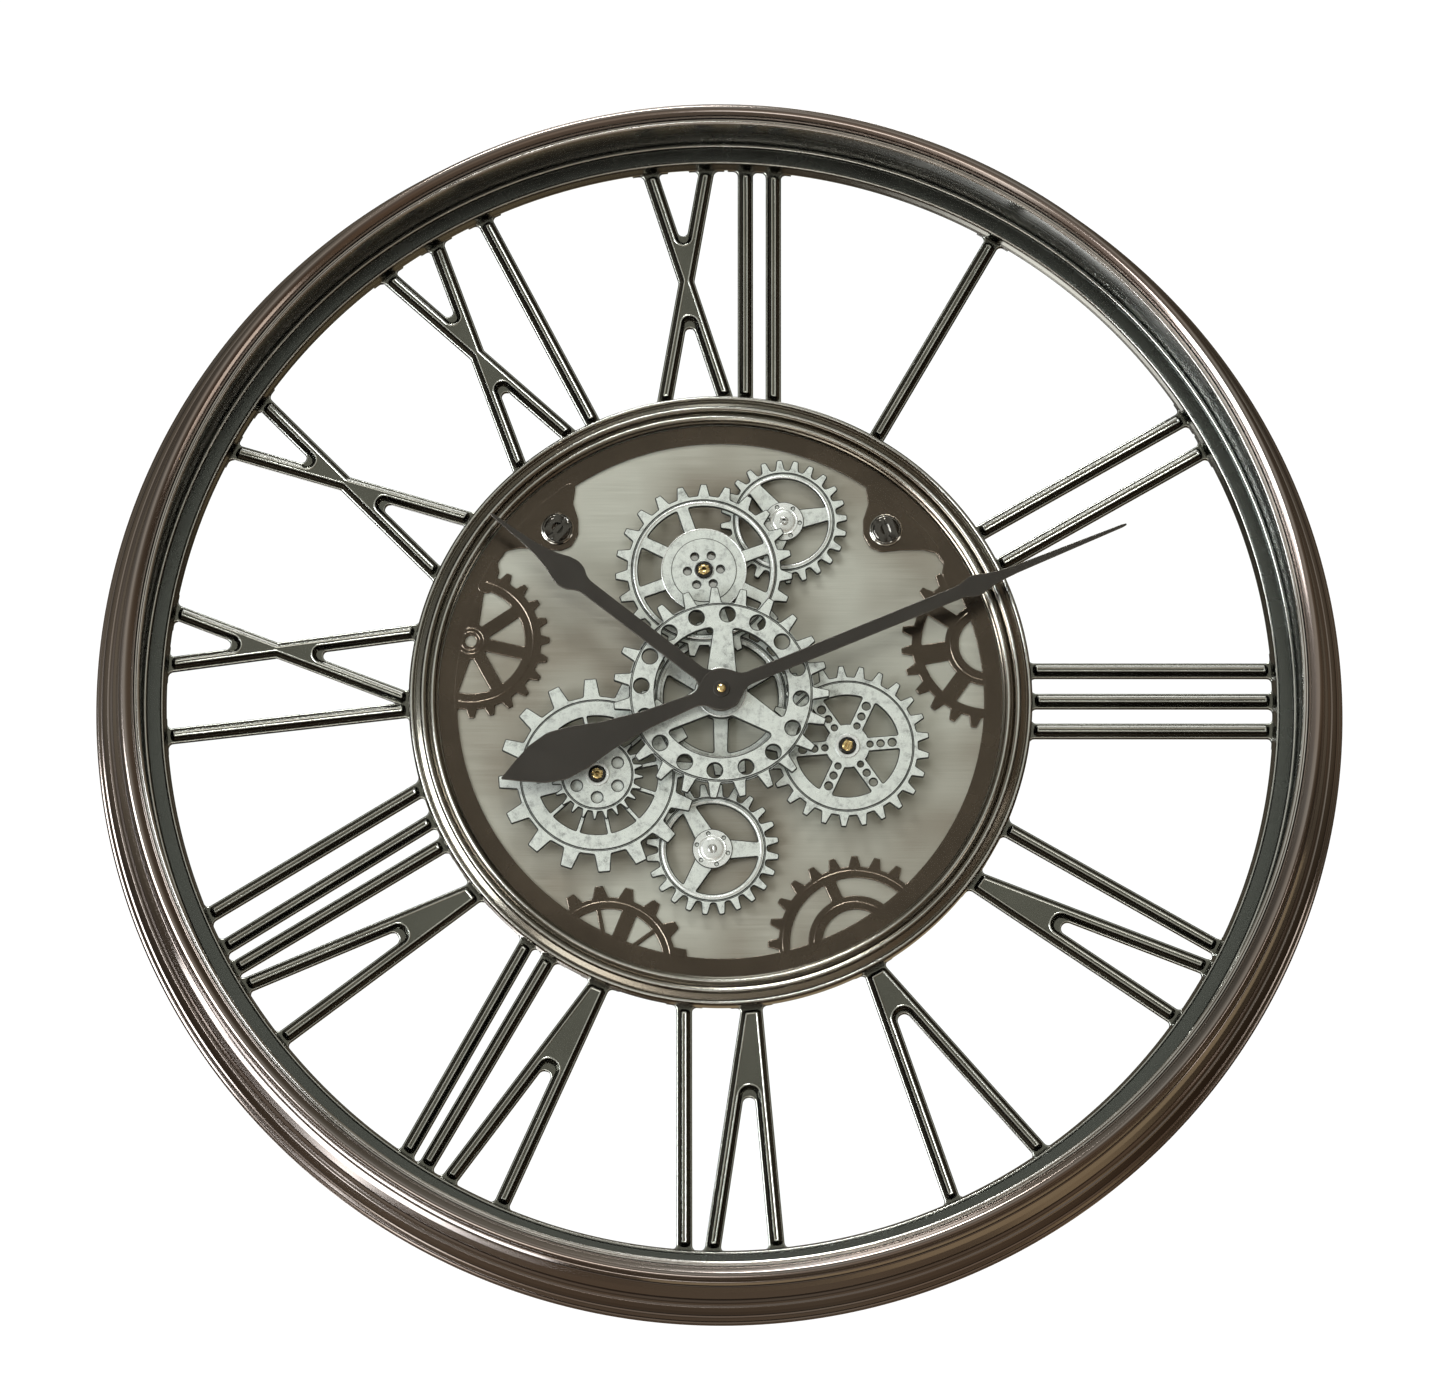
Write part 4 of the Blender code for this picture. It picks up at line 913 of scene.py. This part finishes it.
# Part gears: centre; teeth, tip, root and first angle; hub and bore; spokes as (angle, half width);
# eye; radii of the raised lines
RELIEF = (
    ((-160, 37.4), (24, 50.5, 45, 14), (12, 34.5),
     ((8, 3.6), (56, 4.2), (103, 4.2), (151, 4.2), (199, 3.6)), 3.6, (40, 8.5, 6)),
    ((171.2, 36.7), (24, 55.6, 48.8, 10), (27.5, 42.5),
     ((171, 5.5), (216, 5.5), (260, 6.5), (303, 5), (348, 5)), 18.6, (23.7,)),
    ((-71, -171.6), (16, 50, 42.7, 352.5), (14, 34.8),
     ((317, 1.4), (349, 1.4), (382, 4.8), (414, 1.4), (446, 1.4)), 3.6, (39.5,)),
    ((86, -158), (24, 56.2, 49.4, 359), (30.5, 42),
     ((246.6, 3.8), (336.6, 3.8), (426.6, 3.8)), 21.5, (46.5, 26.4)),
)
# Screw lobe: its free edge as (x, z), and clock angles where it runs under the ring
LOBE = (
    (94.6, 142), (93.6, 138), (95, 128.6), (91.6, 118), (91.6, 108), (96, 100), (103, 97),
    (116, 98.4), (130, 98.6), (139, 96.4), (143.4, 90), (142, 83), (147, 68),
)
LOBE_BACK = (66, 58, 50, 42, 35)


def make_overlay():
    """Dark bronze plate with four part gears, two screw lobes and engraved rings, its rounded edges and ring lines
    in a painted highlight and its walls in patina and painted shade.
    """
    back, _ = layer("overlay_plate")
    top = OVERLAY_TOP
    work = bmesh.new()
    ring = [circle(OVERLAY_OUT, steps=RING_STEPS), circle(OVERLAY_IN, steps=RING_STEPS)]
    relief(work, ring, eased(back, top, 0.3), HIGHLIGHT_EDGE)
    for centre, teeth, (hub, bore), spokes, eye, lines in RELIEF:
        loops = [inside_round(shifted(toothed(*teeth), centre), OVERLAY_IN + 2)]
        openings = [window(hub, bore, (*first, first[1]), (*last, last[1]), 1.5)
                    for first, last in zip(spokes, spokes[1:])]
        openings.append(circle(eye, steps=PIN_STEPS))
        for opening in openings:
            cut = inside_round(shifted(opening, centre), OVERLAY_IN + 0.2)
            if len(cut) > 3:
                loops.append(cut)
        relief(work, loops, eased(back, top + 0.04, 0.6), HIGHLIGHT_EDGE)
        for line in lines:
            arc_groove(work, line, centre, top + 0.04)
    for side in (-1, 1):
        loop = [(side * x, z) for x, z in LOBE] + [polar(173, side * clock) for clock in LOBE_BACK]
        relief(work, [bent(loop, 5, steps=8)], eased(back, top + 0.09, 0.6), HIGHLIGHT_EDGE)
    piece("overlay_face", work, [OVERLAY, OVERLAY_HIGHLIGHT, OVERLAY_WALL_PATINA_SHADE], "case", ["overlay_plate"])
    for node, clock in (("overlay_screw_left", 40), ("overlay_screw_right", -20)):
        make_overlay_screw(node, clock)


def arc_groove(work, radius, centre, top, steps=160, half=0.45):
    """Fine raised line round a part gear, only where it lies inside the ring, in material 1, the painted highlight.
    """
    run = []
    for k in range(steps + 2):
        clock = 360 * k / steps
        if k <= steps and math.hypot(*polar(radius, clock, centre)) < OVERLAY_IN + 0.6:
            run.append(clock)
            continue
        if len(run) > 3:
            loop = [polar(radius + half, turn, centre) for turn in run]
            loop += [polar(radius - half, turn, centre) for turn in reversed(run)]
            relief(work, [loop], [(0.36, top + 0.28), (0, top + 0.08), (0, top - 0.1)], [1, 1])
        run = []


def make_overlay_screw(node, clock):
    """Large blackened screw with a wide slot, a painted highlight on its step's edge and on the ring round its head,
    and a step round its head.
    """
    back, front = layer(node)
    centre = middle(node)
    work = bmesh.new()
    step = [(0, back), (10.4, back), (10.4, back + 0.5), (9.8, back + 0.9),
            (9.3, back + 0.5), (0, back + 0.4)]
    lathe(work, step, DISC_STEPS, centre, [0, 0, 3, 0, 0, 0])
    slotted_head(work, 8.3, back + 0.3, front - back - 0.3, clock, centre, gap=0.3)
    bead(work, 8.7, 0.35, back + 0.4, 0.5, centre, index=3)
    piece(node + "_head", work, [SCREW_DARK, SCREW_DARK, GEAR_WALL_PATINA_SHADE, SCREW_SHINE], "case", [node])


# ---- gears
GEAR_SET = [GEAR, GEAR_EDGE, GEAR_WALL_PATINA_SHADE]


def flat_wheel(work, centre, span, outline, openings, line, step):
    """Toothed plate, split by an engraved ring into a tooth band and an inner band; its edges, and a backing ring
    that shows in the engraved line, take material 2, patina and painted shade.
    """
    back, front = span
    edge = 0.62
    groove = 0.12
    bands = (
        ([outline, circle(line + groove)], eased(back, front - step, edge), DARK_EDGE),
        ([circle(line - groove)] + openings, eased(back, front, edge), DARK_EDGE),
        ([circle(line + 1.5), circle(line - 1.5)], [(0, front - 0.9), (0, back + 0.2)], [2]),
    )
    for loops, profile, paint in bands:
        relief(work, [shifted(loop, centre) for loop in loops], profile, paint)


def make_wheel(node, body, outline, openings, line, rings=(), disc=None, step=0.25):
    """Seen gear with raised rings of (radius, half width, height), giving its front depth."""
    span = layer(node)
    centre = AXIS[body]
    work = bmesh.new()
    flat_wheel(work, centre, span, outline, openings, line, step)
    for ring, half, height in rings:
        bead(work, ring, half, span[1] - 0.05, height, centre, index=1)
    if disc:
        relief(work, [shifted(loop, centre) for loop in disc], eased(span[1] - 0.2, span[1] + 0.45, 0.5), DARK_EDGE)
    piece(node.removesuffix("_gear") + "_wheel", work, GEAR_SET, body, [node])
    return span[1]


def lifted(profile, base):
    """Profile raised by a depth."""
    return [(radius, base + depth) for radius, depth in profile]


def screw_stack(body, base, clock, ring=7.9):
    """White ring, black washer and brass screw in the middle of a gear."""
    centre = AXIS[body]
    work = bmesh.new()
    washer = [(5.6, 0), (ring, 0), (ring, 0.5), (ring - 0.4, 0.9), (6, 0.9), (5.6, 0.6)]
    lathe(work, lifted(washer, base), DISC_STEPS, centre)
    piece(body + "_washer", work, [GEAR_EDGE], body, [])
    work = bmesh.new()
    sleeve = [(0, 0), (5.5, 0), (5.5, 1.2), (4.9, 1.7), (3.8, 1.7), (3.7, 1), (0, 1)]
    lathe(work, lifted(sleeve, base), DISC_STEPS, centre)
    piece(body + "_collar", work, [STEEL_DARK], body, [])
    work = bmesh.new()
    slotted_head(work, 3.55, base + 0.8, 1.6, clock, centre)
    piece(body + "_brass_screw", work, [BRASS, BRASS, BRASS_SLOT_SHADE], body, [body + "_screw"])


def flange_stack(body, base, holes_from, clock):
    """Round flange with six small holes, a domed nut and a small screw."""
    centre = AXIS[body]
    work = bmesh.new()
    loops = [circle(12.8)] + hole_ring(6, 10.2, 1, holes_from, 16)
    relief(work, [shifted(loop, centre) for loop in loops], eased(base, base + 0.9, 0.5), DARK_EDGE)
    bead(work, 8.5, 0.5, base + 0.85, 0.45, centre, index=1)
    # Dark ring round the nut in material 2: patina and painted shade
    relief(work, [circle(8.1, centre), circle(7.1, centre)], [(0, base + 0.96), (0, base + 0.5)], [2])
    dome(work, 7.2, base + 0.7, 1.2, centre)
    piece(body + "_flange", work, [GEAR_EDGE, GEAR_EDGE, GEAR_WALL_PATINA_SHADE], body, [])
    work = bmesh.new()
    slotted_head(work, 2.9, base + 1.5, 0.9, clock, centre, gap=0.12)
    piece(body + "_small_screw", work, [STEEL, STEEL, BRASS_SLOT_SHADE], body, [body + "_screw"])


def make_gears():
    """The centre pair, then the outer gears, each with the screw on its arbor."""
    bore = [circle(8.3, steps=SMALL_STEPS)]
    make_wheel("centre_rear_gear", "drive", toothed(20, 51.2, 43, 2),
               windows(15.4, 36.6, alike((60, 180, 300), 5, 4.5), 1.2) + bore, 41.3, [(39.3, 0.7, 0.5)])
    openings = windows(17, 42.6, alike((1.5, 121.5, 241.5), 9.6, 6.2), 2) + hole_ring(16, 51, 4.8, 4.5) + bore
    make_wheel("centre_gear", "drive", toothed(23, 69, 59, 184.2, 0.12, 0.26, 1), openings, 57.6,
               [(15.6, 0.5, 0.4)], step=0.5)

    eyes = hole_ring(6, 10.6, 2.5, 26)
    openings = windows(27.4, 42.2, alike((250, 295.5, 341, 70, 115, 160), 4.2, 4), 0.9) + eyes
    front = make_wheel("upper_gear", "upper", toothed(23, 57, 49.5, 15.4), openings, 46.2,
                       [(44.6, 0.8, 0.55), (27, 0.45, 0.35)], [circle(21)] + eyes)
    screw_stack("upper", front + 0.35, 80, 6.4)

    front = make_wheel("upper_right_gear", "upper_right", toothed(24, 41, 34.5, 11, 0.17, 0.34, 1.3),
                       windows(12.2, 28.4, alike((79, 199, 319), 6.4, 4.8), 0.5), 32, [(29.6, 0.8, 0.5)])
    flange_stack("upper_right", front, 35, 95)

    openings = windows(14.4, 33, alike((25, 85, 145, 205, 265, 325), 4.6, 4.6), 2)
    for ring, radius in ((14.4, 1.8), (21.2, 2.1), (28.6, 2.4)):
        openings += hole_ring(6, ring, radius, 25, 20)
    front = make_wheel("right_gear", "right", toothed(25, 52.5, 45.4, 10), openings, 42)
    screw_stack("right", front, 20)

    spokes = alike([18 + 30 * k for k in range(12)], 1.5, 1.5)
    spokes[8] = (255, 4.6, 4.6)
    make_wheel("lower_left_gear", "lower_left", toothed(16, 63, 51.6, 18.2, 0.16, 0.27, 1),
               windows(20, 38.4, spokes, 0.8), 48.6)
    front = make_wheel("lower_left_pinion", "lower_left", toothed(24, 29.4, 24.4, 3, 0.1, 0.3, 0.5),
                       hole_ring(6, 15, 3.5, 0), 22.4)
    screw_stack("lower_left", front, 100)

    front = make_wheel("lower_gear", "lower", toothed(24, 42.6, 35, 6.5, 0.17, 0.34, 1.3),
                       windows(12.2, 29.2, alike((90, 210, 330), 6.4, 4.8), 0.5), 33.4, [(31.2, 0.9, 0.5)])
    flange_stack("lower", front, 45, 170)


# ---- hands
# Body, clock angle, bore, and half widths along the hand before and beyond its hub
HANDS = (
    ("minute", 67.2, 2.1,
     ((-151, 0.5), (-147, 2.6), (-140, 6.6), (-127, 13), (-113, 16.4), (-98, 14.6), (-78, 9.6), (-52, 6),
      (-16, 4.2)),
     ((16, 4.3), (166, 4.3), (170, 5.4), (173, 6.8), (177, 7), (186, 4.6), (194, 3.3), (204, 2.6), (278, 1),
      (281, 0.5))),
    ("hour", 308, 3.7,
     ((-13.6, 2),),
     ((16, 4.6), (110, 4.9), (114, 6.2), (118, 9.2), (124, 10.4), (130, 9.2), (137, 6.4), (148, 3.8), (160, 2.4),
      (185, 1), (187.5, 0.5))),
)
HUB_RADIUS = 13.8
HAND_CORNER = 12


def hand_loop(tail, rest, clock):
    """Outline of a hand from half widths along it, mirrored and turned to its clock angle."""
    half = [(width, along) for along, width in tail]
    half += [polar(HUB_RADIUS, angle) for angle in (135, 112, 90, 68, 45)]
    half += [(width, along) for along, width in rest]
    rounded = bent(half + [(-width, along) for width, along in reversed(half)], HAND_CORNER, steps=5)
    turn = math.radians(clock)
    return [(x * math.cos(turn) + z * math.sin(turn), z * math.cos(turn) - x * math.sin(turn)) for x, z in rounded]


def make_hands():
    """Two dark hands with eased edges and sides in a lighter painted highlight, the collar on the minute hand and
    the domed pin.
    """
    for body, clock, bore, tail, rest in HANDS:
        back, front = layer(body + "_hand")
        work = bmesh.new()
        loops = [hand_loop(tail, rest, clock), circle(bore, steps=SMALL_STEPS)]
        relief(work, loops, eased(back, front, 0.4), [1, 1, 1, 1, 1])
        if body == "minute":
            collar = [(2.1, -0.1), (5.4, -0.1), (5.2, 0.5), (4.8, 0.7), (2.1, 0.7)]
            lathe(work, lifted(collar, front), DISC_STEPS)
        piece(body + "_pointer", work, [HAND, HAND_HIGHLIGHT], body, [body + "_hand"])
    back, front = layer("minute_shaft")
    work = bmesh.new()
    shaft = [(0, back), (2, back), (2, front - 2.4), (2.9, front - 2.2), (2.9, front - 1.2),
             (2.5, front - 0.5), (1.5, front - 0.1), (0, front)]
    lathe(work, bent(shaft, 0.3, closed=False, steps=3), PIN_STEPS)
    piece("centre_pin", work, [BRASS], "minute", ["minute_shaft"])


# ---- carried-over nodes
CARRIED = (
    (STEEL_SHEET, ("train_plate",)),
    (BLACK_PLASTIC, ("movement_case", "gear_motor")),
    (WHITE_PLASTIC, ("motor_switch",)),
    (BRASS, ("mounting_nut", "hour_tube", "drive_wheel", "motor_pinion")),
    (STEEL, ("upper_arbor", "upper_right_arbor", "right_arbor", "lower_left_arbor", "lower_arbor")),
)


def dress_nodes():
    """Give every carried-over CAD node its material."""
    for material, names in CARRIED:
        for name in names:
            mesh = frame["nodes"][name].data
            mesh.materials.clear()
            mesh.materials.append(material)


# ---- room, in metres
CAMERA_BELOW, CAMERA_LEFT = math.radians(12.3), math.radians(0.9)
CAMERA_DISTANCE = 4.0576
CAMERA_LENS, CAMERA_SENSOR = 157.95, 36
CAMERA_SHIFT = (0.0013, 0.0021)
TARGET = Vector((0, -0.025, 0))
FLOOR_HALF, FLOOR_DROP = 9, 1.6
SKY_STRENGTH = 1.08
# Colour of the reflected room by the upright, sideways and depth part of the view direction
ROOM = (
    ("Z", ((-1, (0.16, 0.13, 0.1)), (-0.85, (0.3, 0.25, 0.2)), (-0.6, (0.7, 0.6, 0.5)),
           (-0.3, (0.34, 0.29, 0.24)), (0, (0.42, 0.4, 0.36)), (0.2, (0.8, 0.79, 0.73)),
           (0.6, (0.36, 0.35, 0.31)), (1, (0.5, 0.5, 0.45)))),
    ("X", ((-1, (0.5, 0.5, 0.51)), (-0.75, (0.5, 0.5, 0.51)), (-0.45, (0.85, 0.85, 0.85)),
           (0.2, (0.9, 0.9, 0.9)), (0.6, (0.42, 0.37, 0.32)), (1, (0.3, 0.24, 0.19)))),
    ("Y", ((-1, (1, 1, 1)), (0, (0.8, 0.78, 0.75)), (0.5, (0.42, 0.38, 0.33)),
           (1, (0.24, 0.2, 0.16)))),
)
# Place, size, power and colour of the lights, which all aim at the clock's middle
LIGHTS = (
    ("left_window", (-2.2, -1.85, -0.5), (1.6, 1.5), 82, (0.94, 0.965, 1)),
    ("front_low_panel", (-0.6, -1.7, -1.5), (1.5, 0.5), 7, (1, 0.98, 0.95)),
    ("top_back_panel", (0.1, 2, 2.5), (1.3, 0.9), 18, (1, 0.99, 0.97)),
    ("top_strip", (-0.4, -0.5, 2.9), (1.4, 0.5), 5, (1, 1, 1)),
    ("key", (-0.5, -2.1, 2.8), (1.1, 0.6), 42, (1, 0.99, 0.97)),
    ("low_left_panel", (-1.12, 2.6, -0.86), (1.1, 1.3), 20, (1, 0.975, 0.97)),
    ("low_back_strip", (0.75, 2.6, -0.72), (1.9, 1.9), 3.4, (1, 0.77, 0.46)),
    ("right_strip", (2.6, -1.4, -0.9), (0.35, 1.2), 3, (1, 0.93, 0.86)),
)


def make_camera():
    """Camera a little below and left of the clock's axis."""
    data = bpy.data.cameras.new("camera")
    data.sensor_width = CAMERA_SENSOR
    data.lens = CAMERA_LENS
    data.shift_x, data.shift_y = CAMERA_SHIFT
    camera = bpy.data.objects.new("camera", data)
    away = Vector((-math.sin(CAMERA_LEFT) * math.cos(CAMERA_BELOW),
                   -math.cos(CAMERA_LEFT) * math.cos(CAMERA_BELOW), -math.sin(CAMERA_BELOW)))
    camera.location = TARGET + away * CAMERA_DISTANCE
    camera.rotation_euler = away.to_track_quat("Z", "Y").to_euler()
    bpy.context.scene.collection.objects.link(camera)
    bpy.context.scene.camera = camera


def make_lights():
    """Soft rectangular lights aimed at the clock."""
    for name, place, size, power, colour in LIGHTS:
        data = bpy.data.lights.new(name, "AREA")
        data.shape = "RECTANGLE"
        data.size, data.size_y = size
        data.energy = power
        data.color = colour
        light = bpy.data.objects.new(name, data)
        light.location = place
        light.rotation_euler = Vector(place).to_track_quat("Z", "Y").to_euler()
        light.visible_camera = False
        bpy.context.scene.collection.objects.link(light)


def make_world():
    """White surroundings, which the metal reflects as a room with a darker right side and floor."""
    world = bpy.data.worlds.new("studio")
    bpy.context.scene.world = world
    nodes = Nodes(world)
    direction = nodes.add("SeparateXYZ", {0: nodes.add("TexCoord").outputs["Generated"]})
    room = (1, 1, 1)
    for part, stops in ROOM:
        place = nodes.span(direction.outputs[part], 0, 1, -1, 1)
        tone = nodes.ramp(place, [((at + 1) / 2, colour) for at, colour in stops])
        room = nodes.blend(1, room, tone, "MULTIPLY")
    reflected = nodes.tree.nodes["Background"]
    nodes.feed(reflected.inputs["Color"], room)
    seen = nodes.add("Background", {"Color": (1, 1, 1), "Strength": SKY_STRENGTH})
    direct = nodes.add("LightPath").outputs["Is Camera Ray"]
    nodes.surface("World Output", direct, reflected, seen)


def make_floor():
    """Pale floor far below the clock."""
    half, z = FLOOR_HALF, -FLOOR_DROP
    mesh = bpy.data.meshes.new("floor")
    mesh.from_pydata([(-half, -half, z), (half, -half, z), (half, half, z), (-half, half, z)], [], [(0, 1, 2, 3)])
    material = plain("floor_pale", (0.8, 0.79, 0.77), 0.7, 0, 3, 0.03, 0.02)
    shader = material.node_tree.nodes["Principled BSDF"]
    shader.inputs["Emission Color"].default_value = (1, 0.99, 0.97, 1)
    shader.inputs["Emission Strength"].default_value = 0.42
    mesh.materials.append(material)
    floor = bpy.data.objects.new("floor", mesh)
    floor.visible_glossy = False
    bpy.context.scene.collection.objects.link(floor)


make_rings(RIM_RINGS)
make_glass()
make_numerals()
make_rings(CASE_RINGS)
make_dial()
make_back()
make_cell("movement_battery")
make_cell("motor_battery")
make_wall_fittings()
make_overlay()
make_gears()
make_hands()
dress_nodes()
make_camera()
make_world()
make_floor()
make_lights()
bpy.context.scene.view_settings.view_transform = "Standard"
